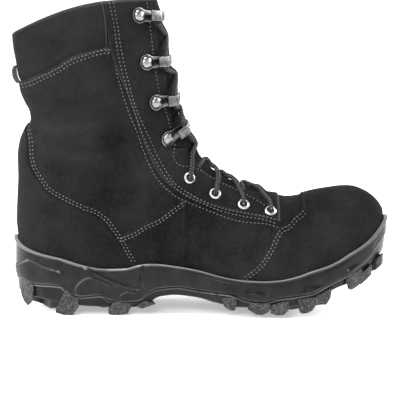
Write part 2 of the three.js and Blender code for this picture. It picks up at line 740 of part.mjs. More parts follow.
const backSteps = 16;
const eyestayOutline = [
  ...sideLine(eyestayBack, backSteps),
  ...sideLine(eyestayFront, 3).slice(1),
  { x: 0.72 * soleLength, z: 0.6 * bootHeight },
  { x: 0.56 * soleLength, z: above },
];
const cuffOutline = [
  ...sideLine(cuffLine, 14),
  { x: 0.42 * soleLength, z: 0.838 * bootHeight },
  { x: 0.42 * soleLength, z: above },
  { x: behind, z: above },
];
const eyestayBehind = [
  ...sideLine(eyestayBack, backSteps),
  { x: soleLength, z: 0 },
  { x: soleLength, z: above },
];
const backstayTop = 0.565; // of the strip that runs up the back from the counter
const counterOutline = [
  { x: behind, z: backstayTop * bootHeight },
  { x: 0.05 * soleLength, z: backstayTop * bootHeight },
  ...sideLine(counterLine, 14),
  { x: 0.32 * soleLength, z: 0 },
  { x: behind, z: 0 },
];
const sewn = skin(fit, overlayOut);

// Hardware: where each rivet or eyelet lies in the side view, from the lowest up,
// as shares of the sole length and the boot height
const eyeletSpots = [
  { along: 0.68, up: 0.326 },
  { along: 0.61, up: 0.345 },
  { along: 0.535, up: 0.379 },
  { along: 0.467, up: 0.431 },
];
const hookSpots = [
  { along: 0.408, up: 0.559, lift: 22, tilt: 7 },
  { along: 0.378, up: 0.675, lift: 4, tilt: 2 },
  { along: 0.354, up: 0.801, lift: 2, tilt: 2 },
  { along: 0.334, up: 0.946, lift: 0, tilt: 2 },
];
const eyeletRadius = 4.9;
const eyeletHole = 2.6;
const barrelRadius = 3.2;
const holeSides = 6; // facets of the hole that an eyelet's barrel goes through
const holeRadius = (barrelRadius + fit) / Math.cos(Math.PI / holeSides);
const holeReach = 3 * (wallThickness + overlayOut); // clear of the wall and the panel on it
const flangeThickness = 0.8;
const hookPlateRadius = 6.3;
const hookPlateThickness = 1.2;
const hookDomeRadius = 4.7;
const hookDomeHeight = 2.4;
const hookReach = 17;
const hookTipWidth = 7.5;
const hookFold = 5.5;
const hardwareSeat = 2 * fit; // from the sewn panel to a plate or flange

// Where a piece of hardware stands: its place on the sewn panel, out from it and towards the throat
function hardwareFrame(spot, side, out) {
  const { at, q } = locate(spot.along * soleLength, spot.up * bootHeight);
  const { spot: point, normal } = surfaceFrame(at, side, q);
  const forward = new THREE.Vector3(1, 0, Math.tan(THREE.MathUtils.degToRad(spot.lift ?? 0)));
  forward.addScaledVector(normal, -forward.dot(normal)).normalize();
  const across = new THREE.Vector3().crossVectors(normal, forward);
  const tilt = THREE.MathUtils.degToRad(spot.tilt ?? 0);
  forward.applyAxisAngle(across, -tilt);
  normal.applyAxisAngle(across, -tilt);
  const frame = new THREE.Matrix4().makeBasis(forward, across, normal);
  return frame.setPosition(point.clone().addScaledVector(normal, out));
}
const placed = (geometry, frame) => solidFrom(geometry.clone().applyMatrix4(frame));

function cylinder(radius, from, to, sides) {
  const geometry = new THREE.CylinderGeometry(radius, radius, to - from, sides);
  geometry.rotateX(Math.PI / 2);
  return geometry.translate(0, 0, (from + to) / 2);
}

function eyeletGeometry() {
  const inside = -(overlayOut + wallThickness);
  const profile = [
    [eyeletHole, inside], [barrelRadius, inside], [barrelRadius, 0],
    [eyeletRadius, 0], [eyeletRadius - 0.6, flangeThickness], [eyeletHole, flangeThickness],
    [eyeletHole, inside],
  ];
  const geometry = new THREE.LatheGeometry(profile.map(([r, z]) => new THREE.Vector2(r, z)), 8);
  return geometry.rotateX(Math.PI / 2);
}

function hookSolid(frame) {
  const plate = new THREE.Shape();
  const back = THREE.MathUtils.degToRad(50);
  plate.moveTo(hookPlateRadius * Math.cos(back), -hookPlateRadius * Math.sin(back));
  plate.lineTo(hookReach - 1, -hookTipWidth / 2);
  plate.lineTo(hookReach - 1, hookTipWidth / 2);
  plate.lineTo(hookPlateRadius * Math.cos(back), hookPlateRadius * Math.sin(back));
  plate.absarc(0, 0, hookPlateRadius, back, 2 * Math.PI - back, false);
  const flat = new THREE.ExtrudeGeometry(plate, {
    depth: hookPlateThickness, bevelEnabled: false, curveSegments: 4,
  });
  // The tip rolls up and back over itself, and the lace lies in the roll
  const roll = new THREE.Shape();
  const radius = laceDiameter / 2 + 0.7;
  const centre = hookReach - 1;
  roll.moveTo(centre, 0);
  const middleOf = radius + hookPlateThickness;
  roll.absarc(centre, middleOf, middleOf, -Math.PI / 2, Math.PI / 2, false);
  roll.lineTo(centre - hookFold + 1, 2 * middleOf);
  roll.lineTo(centre - hookFold + 1, 2 * middleOf - hookPlateThickness);
  roll.absarc(centre, middleOf, radius, Math.PI / 2, -Math.PI / 2, true);
  roll.lineTo(centre - 1, hookPlateThickness);
  roll.lineTo(centre - 1, 0);
  const tip = new THREE.ExtrudeGeometry(roll, {
    depth: hookTipWidth, bevelEnabled: false, curveSegments: 3,
  });
  tip.rotateX(Math.PI / 2);
  tip.translate(0, hookTipWidth / 2, 0);
  const dome = new THREE.LatheGeometry([
    new THREE.Vector2(0, 0),
    new THREE.Vector2(hookDomeRadius, 0),
    new THREE.Vector2(hookDomeRadius * 0.6, hookDomeHeight),
    new THREE.Vector2(0, hookDomeHeight),
  ], 6);
  dome.rotateX(Math.PI / 2);
  dome.translate(0, 0, hookPlateThickness - 0.1);
  return placed(flat, frame).add(placed(tip, frame)).add(placed(dome, frame));
}

// Moves a plate in along its own axis until it lies a fit from the faceted panel
function seated(solid, frame) {
  const gap = solid.minGap(panelForm, 4 * overlayOut);
  const inward = new THREE.Vector3().setFromMatrixColumn(frame, 2).multiplyScalar(fit - gap);
  return solid.translate(inward.x, inward.y, inward.z);
}

const group = new THREE.Group();
const colours = {
  suede: { color: 0x1d1d1f, roughness: 0.9, metalness: 0 },
  rubber: { color: 0x2a2b2d, roughness: 0.5, metalness: 0 },
  lining: { color: 0x26262a, roughness: 0.95, metalness: 0 },
  nickel: { color: 0xb9babd, roughness: 0.3, metalness: 0.9 },
  cord: { color: 0x121214, roughness: 0.8, metalness: 0 },
};
function place(name, solid, colour) {
  const mesh = new THREE.Mesh(geometryOf(solid), new THREE.MeshStandardMaterial(colours[colour]));
  mesh.name = name;
  group.add(mesh);
}

const sides = [
  { name: "lateral", side: -1, slabs: [-halfBall * 1.4, 0] },
  { name: "medial", side: 1, slabs: [0, halfBall * 1.4] },
];
const panelForm = formSolid(overlayOut, past); // what the hooks lie on
const panelSpace = formSolid(overlayOut + fit, past);
let eyeletHoles = null;
const hardware = [];
for (const { name, side } of sides) {
  eyeletSpots.forEach((spot, i) => {
    const frame = hardwareFrame(spot, side, overlayOut + hardwareSeat);
    const hole = placed(cylinder(holeRadius, -holeReach, holeReach, holeSides), frame);
    eyeletHoles = eyeletHoles ? eyeletHoles.add(hole) : hole;
    hardware.push([`eyelet_${name}_${i + 1}`, placed(eyeletGeometry(), frame)]);
  });
  hookSpots.forEach((spot, i) => {
    const frame = hardwareFrame(spot, side, overlayOut + hardwareSeat);
    hardware.push([`hook_${name}_${i + 1}`, seated(hookSolid(frame), frame).subtract(panelSpace)]);
  });
}

place("upper", shell.subtract(eyeletHoles), "suede");
for (const { name, slabs } of sides) {
  const panel = sewn.intersect(slab(eyestayOutline, ...slabs)).subtract(quarterCut).subtract(eyeletHoles);
  place(`eyestay_${name}`, panel, "suede");
}
const clearLine = eyestayBehind.map((p, i) => (i <= backSteps ? { x: p.x - fit, z: p.z } : p));
const clearOfEyestay = slab(clearLine, wholeWidth.fromY, wholeWidth.toY);
const cuffSlab = slab(cuffOutline, wholeWidth.fromY, wholeWidth.toY);
const cuffBand = skin(fit, fit + cuffThickness).intersect(cuffSlab);
place("cuff", cuffBand.subtract(clearOfEyestay), "suede");
place("heel_counter", sewn.intersect(slab(counterOutline, wholeWidth.fromY, wholeWidth.toY)), "suede");

// Pull tab at the back of the cuff's seam, leaning away at its top
const tabLow = cuffLine[0].up * bootHeight;
const tabHigh = tabLow + pullTab.height;
const tabInner = (z) => backX(z) - cuffThickness - 3 * fit;
const tabOutline = [
  { x: tabInner(tabLow), z: tabLow },
  { x: tabInner(tabHigh) - pullTab.lean, z: tabHigh },
  { x: tabInner(tabHigh) - pullTab.lean - pullTab.thickness, z: tabHigh },
  { x: tabInner(tabLow) - pullTab.thickness, z: tabLow },
];
place("pull_tab", slab(tabOutline, -pullTab.width / 2, pullTab.width / 2), "suede");

// Tongue, between two forms inside the upper, a strip as wide as the throat and its margins
const tongueOuter = -wallThickness - fit;
const tongueStrip = throatCutter(tongueMargin);
const tongue = skin(tongueOuter - tongueThickness, tongueOuter).intersect(tongueStrip);
place("tongue", tongue, "suede");

// Insole, on the floor of the midsole's cup and inside the upper's wall
const insoleSpace = formSolid(-wallThickness - 2 * fit);
const insoleSlab = soleSolid((along) => [
  { z: seatHeight(along) + fit, inset: wallInset },
  { z: seatHeight(along) + fit + insoleThickness, inset: wallInset },
], soleStations.filter((along, i) => i % 3 === 0));
const insole = insoleSlab.intersect(insoleSpace);
place("insole", insole, "lining");

const seatSpace = formSolid(overlayOut + fit, { down: fit, up: past.up });
let outsole = outsoleBody;
for (const lug of sideLugs) outsole = outsole.add(sideLug(lug, -1)).add(sideLug(lug, 1));
for (const claw of claws) outsole = outsole.add(clawLug(claw));
place("outsole", outsole, "rubber");
place("midsole", midsoleBlank.subtract(seatSpace), "rubber");
for (const [name, solid] of hardware) place(name, solid, "nickel");

// Laces: between one pair of eyelets or hooks and the next, two strands cross over the tongue.
// They are joined where they cross, and a bar joins the lowest pair.
const laceRadius = laceDiameter / 2;
const laceLift = overlayOut + 2 * fit + laceRadius;

// Where a strand meets its eyelet or hook, above or below the middle of it: the section and how far
// from the middle of the throat on the nearer side
function laceEnd({ spot, hooked }, upward) {
  const spread = laceRadius + 2 * fit + (hooked ? hookTipWidth / 2 : 0);
  const local = hooked
    ? new THREE.Vector3(hookReach, upward * spread, 0)
    : new THREE.Vector3(-upward * spread, 0, 0);
  const [outer, inner] = [-1, 1].map((side) => {
    const flip = new THREE.Vector3(1, -side, 1);
    return local.clone().multiply(flip).applyMatrix4(hardwareFrame(spot, side, overlayOut));
  });
  const { at } = locate(outer.x, Math.min(outer.z, bootHeight * 0.97));
  const inside = hooked ? 2 * laceRadius : eyeletRadius + laceRadius + 2 * fit;
  return { at, y: Math.min(Math.abs(outer.y), Math.abs(inner.y)) - inside };
}

function strand(from, to, fromSide) {
  const steps = 4;
  const path = [];
  for (let i = 0; i <= steps; i++) {
    const t = i / steps;
    const y = mix(from.y * fromSide, -to.y * fromSide, t);
    const at = mix(from.at, to.at, t);
    const side = y < 0 ? -1 : 1;
    const q = shareAt(section(at), side, Math.abs(y));
    const { spot, normal } = surfaceFrame(at, side, q);
    path.push(spot.addScaledVector(normal, laceLift));
  }
  const round = new THREE.Shape();
  round.absarc(0, 0, laceRadius, 0, 2 * Math.PI, false);
  const tube = new THREE.ExtrudeGeometry(round, {
    steps, curveSegments: 3, bevelEnabled: false, extrudePath: new THREE.CatmullRomCurve3(path),
  });
  return solidFrom(tube);
}

const laceStops = [
  ...eyeletSpots.map((spot) => ({ spot, hooked: false })),
  ...hookSpots.map((spot) => ({ spot, hooked: true })),
];
const barEnd = laceEnd(laceStops[0], -1);
place("lace_bar", strand(barEnd, barEnd, -1), "cord");
for (let i = 0; i + 1 < laceStops.length; i++) {
  const low = laceEnd(laceStops[i], 1);
  const high = laceEnd(laceStops[i + 1], -1);
  place(`lace_cross_${i + 1}`, strand(low, high, -1).add(strand(low, high, 1)), "cord");
}

// The origin is on the floor, in the middle of the whole boot
const middle = new THREE.Box3().setFromObject(group).getCenter(new THREE.Vector3());
group.position.set(-middle.x, -middle.y, 0);
export default group;
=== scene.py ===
import math

import bmesh
import bpy
import numpy as np
from mathutils import Matrix, Vector


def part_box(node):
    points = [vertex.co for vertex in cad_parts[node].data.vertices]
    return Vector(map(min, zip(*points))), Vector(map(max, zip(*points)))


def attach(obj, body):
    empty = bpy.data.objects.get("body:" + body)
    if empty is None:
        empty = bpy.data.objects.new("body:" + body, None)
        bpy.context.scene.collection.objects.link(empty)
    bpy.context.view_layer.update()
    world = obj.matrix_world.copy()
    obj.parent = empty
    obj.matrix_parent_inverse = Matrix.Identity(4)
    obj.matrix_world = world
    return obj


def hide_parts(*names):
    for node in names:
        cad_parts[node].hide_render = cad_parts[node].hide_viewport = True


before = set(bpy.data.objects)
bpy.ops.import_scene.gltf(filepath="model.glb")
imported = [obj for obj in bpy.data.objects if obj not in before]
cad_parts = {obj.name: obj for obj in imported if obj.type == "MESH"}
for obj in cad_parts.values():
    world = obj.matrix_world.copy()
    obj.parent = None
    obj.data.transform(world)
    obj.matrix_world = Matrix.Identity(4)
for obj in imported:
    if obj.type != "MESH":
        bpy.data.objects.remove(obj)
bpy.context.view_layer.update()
print("frame loaded")

# Lengths are millimetres of the boot itself, x from the heel and z from the floor, and toFrame brings
# them to the frame's metres. The outer side of the foot is towards -Y.
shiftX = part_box("midsole")[0][0] * 1000
shiftY = (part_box("pull_tab")[0][1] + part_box("pull_tab")[1][1]) * 500


def toFrame(points):
    return (np.asarray(points, float) + [shiftX, shiftY, 0]) * 0.001


# Camera at the photograph's angle: level with the collar and looking a little down
camera = {"distance": 1200, "height": 252, "focus": 1440, "centre": (200, 4.5), "middleX": 155,
          "aimHeight": 89.5, "lens": 130.6}


def makeCamera():
    data = bpy.data.cameras.new("camera")
    data.sensor_width = 36
    data.lens = camera["lens"]
    data.clip_end = 20
    made = bpy.data.objects.new("camera", data)
    bpy.context.scene.collection.objects.link(made)
    place = Vector(toFrame([camera["middleX"], -camera["distance"], camera["height"]]))
    aim = Vector(toFrame([camera["middleX"], 0, camera["aimHeight"]]))
    made.location = place
    made.rotation_euler = (aim - place).to_track_quat("-Z", "Y").to_euler()
    bpy.context.scene.camera = made


makeCamera()

# Sizes that the boot is worked out from
boot = {"length": 312.5, "ballWidth": 108, "height": 256, "soleHeight": 40, "treadHeight": 10,
        "wall": 2.2, "overlay": 1.2, "cuff": 2.4, "tongue": 3.2, "insole": 4, "lip": 2,
        "vampLap": 1.4, "quarterLap": 1.3, "cuffLap": 2.1, "lace": 3.8, "tongueMargin": 12,
        "throatTop": 38, "fit": 0.3, "seatMargin": 1, "insetGain": 1.3, "insetBend": 0.3}
halfBall = boot["ballWidth"] / 2
overlayOut = boot["fit"] + boot["overlay"]
wallInset = boot["lip"] + boot["fit"] + overlayOut + boot["seatMargin"]
seatLength = boot["length"] - 2 * wallInset
upperRise = boot["height"] - boot["soleHeight"]


def table(names, *rows):
    return dict(zip(names.split(), np.array(rows, float).T))


# Plan of the sole: along is a share of its length, the rest are shares of half its width at the ball
plan = table(
    "along sway outer inner",
    (0.0, 0.0, 0.0, 0.0), (0.048, 0.0, 0.5, 0.5), (0.112, 0.0, 0.694, 0.694), (0.19, 0.0, 0.75, 0.74),
    (0.28, 0.0, 0.735, 0.7), (0.37, 0.0, 0.715, 0.62), (0.45, 0.0, 0.76, 0.6), (0.54, 0.0, 0.87, 0.7),
    (0.64, 0.0, 0.97, 0.9), (0.72, 0.01, 1.0, 1.0), (0.79, 0.025, 0.975, 0.985), (0.85, 0.05, 0.895, 0.885),
    (0.912, 0.09, 0.74, 0.715), (0.96, 0.13, 0.53, 0.495), (1.0, 0.17, 0.0, 0.0))
# The midsole's top edge and its seam with the outsole, as shares of the sole's height
soleSide = table(
    "along lip seam",
    (0.0, 1.52, 0.72), (0.005, 1.47, 0.71), (0.02, 1.38, 0.68), (0.055, 1.28, 0.59), (0.1, 1.21, 0.6),
    (0.128, 1.17, 0.59), (0.15, 1.12, 0.42), (0.185, 1.04, 0.375), (0.235, 0.965, 0.4),
    (0.262, 0.955, 0.285), (0.3, 0.965, 0.25), (0.335, 1.03, 0.27), (0.36, 1.055, 0.43),
    (0.385, 1.05, 0.525), (0.44, 1.005, 0.57), (0.49, 0.945, 0.52), (0.545, 0.845, 0.48),
    (0.58, 0.795, 0.45), (0.615, 0.77, 0.355), (0.66, 0.76, 0.32), (0.7, 0.78, 0.395), (0.75, 0.86, 0.445),
    (0.79, 0.965, 0.5), (0.826, 1.04, 0.64), (0.856, 1.13, 0.75), (0.89, 1.27, 0.85), (0.917, 1.37, 1.0),
    (0.943, 1.49, 1.14), (0.968, 1.65, 1.36), (0.986, 1.79, 1.5), (0.996, 1.88, 1.56), (1.0, 1.9, 1.58))
seat = table(
    "along up",
    (0.0, 1.0), (0.1, 0.9), (0.2, 0.8), (0.3, 0.725), (0.4, 0.675), (0.5, 0.6), (0.6, 0.53),
    (0.68, 0.52), (0.76, 0.61), (0.84, 0.79), (0.91, 1.06), (0.96, 1.36), (1.0, 1.62))
# The tread's base and the lugs' lower ends, as shares of the tread's height
tread = table(
    "along base lug",
    (0.0, 1.4, 0.75), (0.05, 1.25, 0.45), (0.105, 1.0, 0.0), (0.2, 0.7, 0.0), (0.31, 0.58, 0.0),
    (0.345, 0.7, 0.0), (0.385, 1.42, 0.5), (0.43, 1.6, 0.9), (0.49, 1.45, 0.8), (0.54, 1.08, 0.5),
    (0.6, 0.8, 0.0), (0.7, 0.82, 0.0), (0.76, 1.0, 0.3), (0.8, 1.35, 0.8), (0.83, 1.85, 1.2),
    (0.87, 2.35, 1.75), (0.9, 2.6, 2.05), (0.93, 3.2, 2.7), (0.96, 3.9, 3.35), (1.0, 4.7, 4.1))
# Cuts through the upper from the toe to the collar, each a line in the side view
sections = table(
    "seat heel lean rise outer inner start fullness bow",
    (1.0, 0, 0, 0, 1, 1, 0.2, 2.2, 0), (0.9983, 0, 0, 0.069, 1, 1, 0.2, 2.2, 0),
    (0.9917, 0, 0, 0.1, 1, 1, 0.22, 2.3, 0), (0.976, 0, 0, 0.146, 1, 1, 0.24, 2.4, 0),
    (0.95, 0, 0, 0.203, 1, 1, 0.25, 2.4, 0), (0.912, 0, 0, 0.264, 1, 1, 0.24, 2.4, 0),
    (0.862, 0, 0, 0.3, 1, 1, 0.22, 2.3, 0), (0.806, 0, 0, 0.317, 1, 1, 0.2, 2.1, 0),
    (0.747, 0, 0, 0.321, 1, 1, 0.18, 1.9, 0), (0.69, 0, 0.0005, 0.343, 1, 1, 0.17, 1.75, 0),
    (0.595, 0, 0.0416, 0.361, 0.98, 1.02, 0.17, 1.65, 0), (0.499, 0, 0.091, 0.369, 1.03, 1.2, 0.19, 1.6, 0),
    (0.4, 0, 0.149, 0.382, 1.09, 1.28, 0.22, 1.65, 0), (0.304, 0, 0.208, 0.41, 1.06, 1.14, 0.26, 1.75, 0),
    (0.212, 0, 0.271, 0.444, 1.06, 1.08, 0.3, 1.85, 0), (0.126, 0, 0.336, 0.473, 1.07, 1.09, 0.33, 1.95, 0),
    (0.05, 0, 0.396, 0.496, 1.09, 1.12, 0.36, 2.05, 0), (0, 0, 0.43, 0.521, 1.1, 1.13, 0.38, 2.1, 0),
    (0, 0.139, 0.4225, 0.559, 1.12, 1.15, 0.4, 2.15, 0), (0, 0.268, 0.4155, 0.6, 1.12, 1.15, 0.42, 2.2, 0),
    (0, 0.38, 0.41, 0.641, 1.12, 1.14, 0.44, 2.25, 0), (0, 0.477, 0.4085, 0.686, 1.13, 1.15, 0.45, 2.3, 0),
    (0, 0.542, 0.4045, 0.732, 1.15, 1.17, 0.46, 2.3, 0.002),
    (0, 0.602, 0.3915, 0.778, 1.19, 1.21, 0.47, 2.3, 0.006),
    (0, 0.69, 0.3835, 0.843, 1.23, 1.25, 0.48, 2.3, 0.014),
    (0, 0.782, 0.377, 0.921, 1.26, 1.28, 0.48, 2.3, 0.024),
    (0, 0.875, 0.365, 1.0, 1.28, 1.3, 0.48, 2.3, 0.032))
sections["number"] = np.arange(len(sections["seat"]), dtype=float)
collarSection = len(sections["seat"]) - 1
throatSection = 9  # the throat opens here
heelSection = 17  # the sections start at the back of the heel from here on
# How far the back lies forward of the seat, as a share of the length
back = table(
    "rise tuck",
    (0.0, 0.0), (0.09, -0.001), (0.15, -0.0045), (0.24, -0.002), (0.33, 0.0015), (0.4, 0.001),
    (0.46, 0.007), (0.505, 0.02), (0.546, 0.032), (0.6, 0.019), (0.67, 0.0105), (0.74, 0.007),
    (0.875, -0.005))
# Half the throat's gap, as a share of its width at the collar
throat = table("section half", (9, 0.2), (10, 0.24), (12, 0.29), (15, 0.35), (16, 0.56), (17, 0.4),
               (20, 0.44), (26, 0.5))
eyestayBack = table("along up", (0.246, 1.02), (0.255, 0.9), (0.275, 0.8), (0.317, 0.68), (0.345, 0.565),
                    (0.385, 0.455), (0.44, 0.39), (0.51, 0.352), (0.6, 0.322), (0.705, 0.298))


def mix(a, b, t):
    return a + (b - a) * t


def smooth(low, high, value):
    t = np.clip((value - low) / (high - low), 0, 1)
    return t * t * (3 - 2 * t)


# A column of a table as a smooth curve that never overshoots its rows
def read(rows, key, column, at, bend=lambda v: v):
    k = bend(rows[key])
    v = rows[column]
    x = np.clip(bend(np.asarray(at, float)), k[0], k[-1])
    slope = np.diff(v) / np.diff(k)
    before, after = slope[:-1], slope[1:]
    total = np.where(before + after == 0, 1, before + after)
    inner = np.where(before * after <= 0, 0, 2 * before * after / total)
    tangent = np.concatenate([slope[:1], inner, slope[-1:]])
    i = np.clip(np.searchsorted(k, x) - 1, 0, len(k) - 2)
    h = k[i + 1] - k[i]
    t = (x - k[i]) / h
    start = (1 + 2 * t) * (1 - t) ** 2 * v[i] + t * (1 - t) ** 2 * h * tangent[i]
    return start + t * t * (3 - 2 * t) * v[i + 1] + t * t * (t - 1) * h * tangent[i + 1]


def turn(along):
    return np.arccos(np.clip(1 - 2 * along, -1, 1))


def planHalf(along, side):
    outer = read(plan, "along", "outer", along, turn)
    inner = read(plan, "along", "inner", along, turn)
    return np.where(np.asarray(side) < 0, outer, inner) * halfBall


def sway(along):
    return read(plan, "along", "sway", along) * halfBall


def seatHeight(along):
    return read(seat, "along", "up", along) * boot["soleHeight"]


def lipHeight(along):
    return read(soleSide, "along", "lip", along) * boot["soleHeight"]


def seamHeight(along):
    return read(soleSide, "along", "seam", along) * boot["soleHeight"]


def baseHeight(along):
    return read(tread, "along", "base", along) * boot["treadHeight"]


def lugHeight(along):
    return read(tread, "along", "lug", along) * boot["treadHeight"]


def insetAcross(along, inset):
    bend = np.sin(turn(along))
    return (inset * boot["insetGain"] * bend) / (1 + boot["insetBend"] * bend)


# A point of the sole's plan, moved in from its edge
def planPoint(along, side, inset, z):
    half = planHalf(along, side) - insetAcross(along, inset)
    x = inset + along * (boot["length"] - 2 * inset)
    y = sway(along) + side * np.maximum(half, 0)
    return np.stack(np.broadcast_arrays(x, y, z), -1).astype(float)


def backX(z):
    return wallInset + read(back, "rise", "tuck", (z - boot["soleHeight"]) / upperRise) * boot["length"]


def seatHalf(along, side):
    return planHalf(along, side) - insetAcross(along, wallInset)


def section(at):
    cut = {name: read(sections, "number", name, at) for name in sections if name != "number"}
    along = np.clip(cut["seat"], 0, 1)
    low = seatHeight(along)
    cut["along"] = along
    cut["footZ"] = low + cut["heel"] * upperRise
    cut["footX"] = np.where(cut["heel"] > 0, backX(cut["footZ"]), wallInset + along * seatLength)
    cut["crownX"] = wallInset + along * seatLength + cut["lean"] * boot["length"]
    cut["crownZ"] = low + cut["rise"] * upperRise
    return cut


heelPeak = 0.19  # where the heel is widest, as a share of the length


def formPoint(cut, side, q):
    wide = seatHalf(np.maximum(cut["along"], heelPeak), side)
    share = np.where(side < 0, cut["outer"], cut["inner"])
    wide = wide * mix(1, share, smooth(0.2, 0.55, q))
    over = np.clip((q - cut["start"]) / (1 - cut["start"]), 0, 1)
    crown = np.sqrt(np.maximum(1 - over ** cut["fullness"], 0))
    x = mix(cut["footX"], cut["crownX"], q)
    z = mix(cut["footZ"], cut["crownZ"], q)
    near = np.clip((x - backX(z)) / seatLength, 0, heelPeak)
    half = wide * crown * seatHalf(near, side) / seatHalf(heelPeak, side)
    lift = cut["bow"] * boot["height"] * np.sin(np.pi * q)
    return np.stack([x, sway(cut["along"]) + side * half, z + lift], -1)


# Spreads points over a section, from its foot to its crown: closer together at the crown, and up the
# shaft at both ends
def shareSpread(along, t):
    crowned = np.sin(t * np.pi / 2)
    even = (1 - np.cos(t * np.pi)) / 2
    return mix(even, crowned, smooth(0.05, 0.4, along))


# The upper's surface: a runs from the toe (0) to the collar (1), and w from the outer side's foot (-1)
# over the crown (0) to the inner side's (1)
def skinSpot(a, w):
    cut = section(a * collarSection)
    return formPoint(cut, np.where(w < 0, -1, 1), shareSpread(cut["along"], 1 - np.abs(w)))


def unit(v):
    return v / np.maximum(np.linalg.norm(v, axis=-1, keepdims=True), 1e-9)


def skinNormal(a, w):
    a = np.clip(a, 0.004, 0.9995)
    stepA, stepW = 0.0008, 0.002
    up = skinSpot(a + stepA / 2, w) - skinSpot(a - stepA / 2, w)
    over = skinSpot(a, np.clip(w + stepW, -1, 1)) - skinSpot(a, np.clip(w - stepW, -1, 1))
    normal = unit(np.cross(over, up))
    seam = (np.abs(w) > 0.9999) & (a > heelSection / collarSection)
    if np.any(seam):
        flipped = normal * [1, -1, 1]
        normal = np.where(seam[..., None], unit(normal + flipped), normal)
    return normal


def skin(a, w, out=0.0):
    a, w, out = np.broadcast_arrays(np.asarray(a, float), np.asarray(w, float), np.asarray(out, float))
    return skinSpot(a, w) + skinNormal(a, w) * out[..., None]


halvings = {"section": 32, "share": 26}


# The place (a, |w|) of points of the side view
def locate(x, z):
    x, z = np.asarray(x, float), np.asarray(z, float)
    low = np.zeros(x.shape)
    high = np.full(x.shape, float(collarSection))
    for _ in range(halvings["section"]):
        at = (low + high) / 2
        cut = section(at)
        dx = cut["crownX"] - cut["footX"]
        dz = cut["crownZ"] - cut["footZ"]
        q = ((x - cut["footX"]) * dx + (z - cut["footZ"]) * dz) / np.maximum(dx * dx + dz * dz, 1e-6)
        q = np.clip(q, 0, 1)
        lift = cut["bow"] * boot["height"] * np.sin(np.pi * q)
        above = dx * (z - lift - cut["footZ"]) - dz * (x - cut["footX"]) > 0
        low = np.where(above, at, low)
        high = np.where(above, high, at)
    small = np.zeros(x.shape)
    large = np.ones(x.shape)
    for _ in range(halvings["share"]):
        t = (small + large) / 2
        short = shareSpread(cut["along"], t) < q
        small = np.where(short, t, small)
        large = np.where(short, large, t)
    return at / collarSection, 1 - t


# Where a pixel of the photograph lies on the outer side: on the upper, or on the sole's edge
def pixelPlace(pixels, sole=False):
    u, v = np.array(pixels, float).T
    y = np.full(u.shape, -45.0)  # a first guess, improved in each round
    for _ in range(4):
        scale = camera["focus"] / (camera["distance"] + y)
        x = camera["middleX"] + (u - camera["centre"][0]) / scale
        z = camera["height"] - (v - camera["centre"][1]) / scale
        if sole:
            y = planPoint(np.clip(x / boot["length"], 0, 1), -1, 0, 0)[..., 1]
        else:
            a, w = locate(x, z)
            y = skinSpot(a, -w)[..., 1]
    return np.stack([x, z], -1)


# A smooth line through points, with so many steps between two of them
def smoothLine(points, steps=8):
    p = np.asarray(points, float)
    p = np.concatenate([[2 * p[0] - p[1]], p, [2 * p[-1] - p[-2]]])
    t = np.linspace(0, 1, steps, endpoint=False)[:, None]
    parts = []
    for i in range(1, len(p) - 2):
        a, b, c, d = p[i - 1], p[i], p[i + 1], p[i + 2]
        parts.append(0.5 * (2 * b + (c - a) * t + (2 * a - 5 * b + 4 * c - d) * t ** 2
                            + (3 * b - a - 3 * c + d) * t ** 3))
    return np.concatenate(parts + [p[-2:-1]])


# Points at an even spacing along a line
def evenly(points, spacing):
    lengths = np.concatenate([[0], np.cumsum(np.linalg.norm(np.diff(points, axis=0), axis=1))])
    count = max(int(round(lengths[-1] / spacing)), 2)
    at = np.linspace(0, lengths[-1], count + 1)
    return np.stack([np.interp(at, lengths, points[:, i]) for i in range(points.shape[1])], -1)


# Distance from each point of the side view to a line
def lineDistance(x, z, line):
    best = np.full(np.shape(x), 1e9)
    for (ax, az), (bx, bz) in zip(line[:-1], line[1:]):
        dx, dz = bx - ax, bz - az
        t = np.clip(((x - ax) * dx + (z - az) * dz) / max(dx * dx + dz * dz, 1e-9), 0, 1)
        best = np.minimum(best, np.hypot(x - ax - t * dx, z - az - t * dz))
    return best


# The throat's edge on each side, as |w|: its lower end is round
def throatEdge(a):
    at = np.asarray(a, float) * collarSection
    end = np.clip((at - throatSection) / 0.4, 0, 1)
    half = read(throat, "section", "half", at) * boot["throatTop"] * np.sqrt(1 - (1 - end) ** 2)
    cut = section(at)
    edges = []
    for side in (-1, 1):
        low = np.zeros(at.shape)
        high = np.full(at.shape, 0.6)
        for _ in range(halvings["share"]):
            w = (low + high) / 2
            y = formPoint(cut, np.full(at.shape, side), shareSpread(cut["along"], 1 - w))[..., 1]
            wide = np.abs(y - sway(cut["along"])) > half
            high = np.where(wide, w, high)
            low = np.where(wide, low, w)
        edges.append(np.where(half > 0, w, 0))
    return edges


# Meshes are gathered as points, faces and material numbers
def newShape():
    return {"points": [], "faces": [], "marks": [], "count": 0}


def addFaces(shape, points, faces, mark=0):
    points = np.asarray(points, float).reshape(-1, 3)
    start = shape["count"]
    shape["points"].append(points)
    for face in faces:
        shape["faces"].append([int(i) + start for i in face])
    shape["marks"].extend([mark] * len(faces))
    shape["count"] += len(points)
    return start


def gridFaces(rows, columns, wrapRows=False, wrapColumns=False, flip=False):
    i, j = np.meshgrid(np.arange(rows - (0 if wrapRows else 1)),
                       np.arange(columns - (0 if wrapColumns else 1)), indexing="ij")
    i, j = i.ravel(), j.ravel()
    ii, jj = (i + 1) % rows, (j + 1) % columns
    faces = np.stack([i * columns + j, i * columns + jj, ii * columns + jj, ii * columns + j], -1)
    return faces[:, ::-1] if flip else faces


def addGrid(shape, grid, mark=0, **options):
    rows, columns = grid.shape[:2]
    return addFaces(shape, grid, gridFaces(rows, columns, **options), mark)


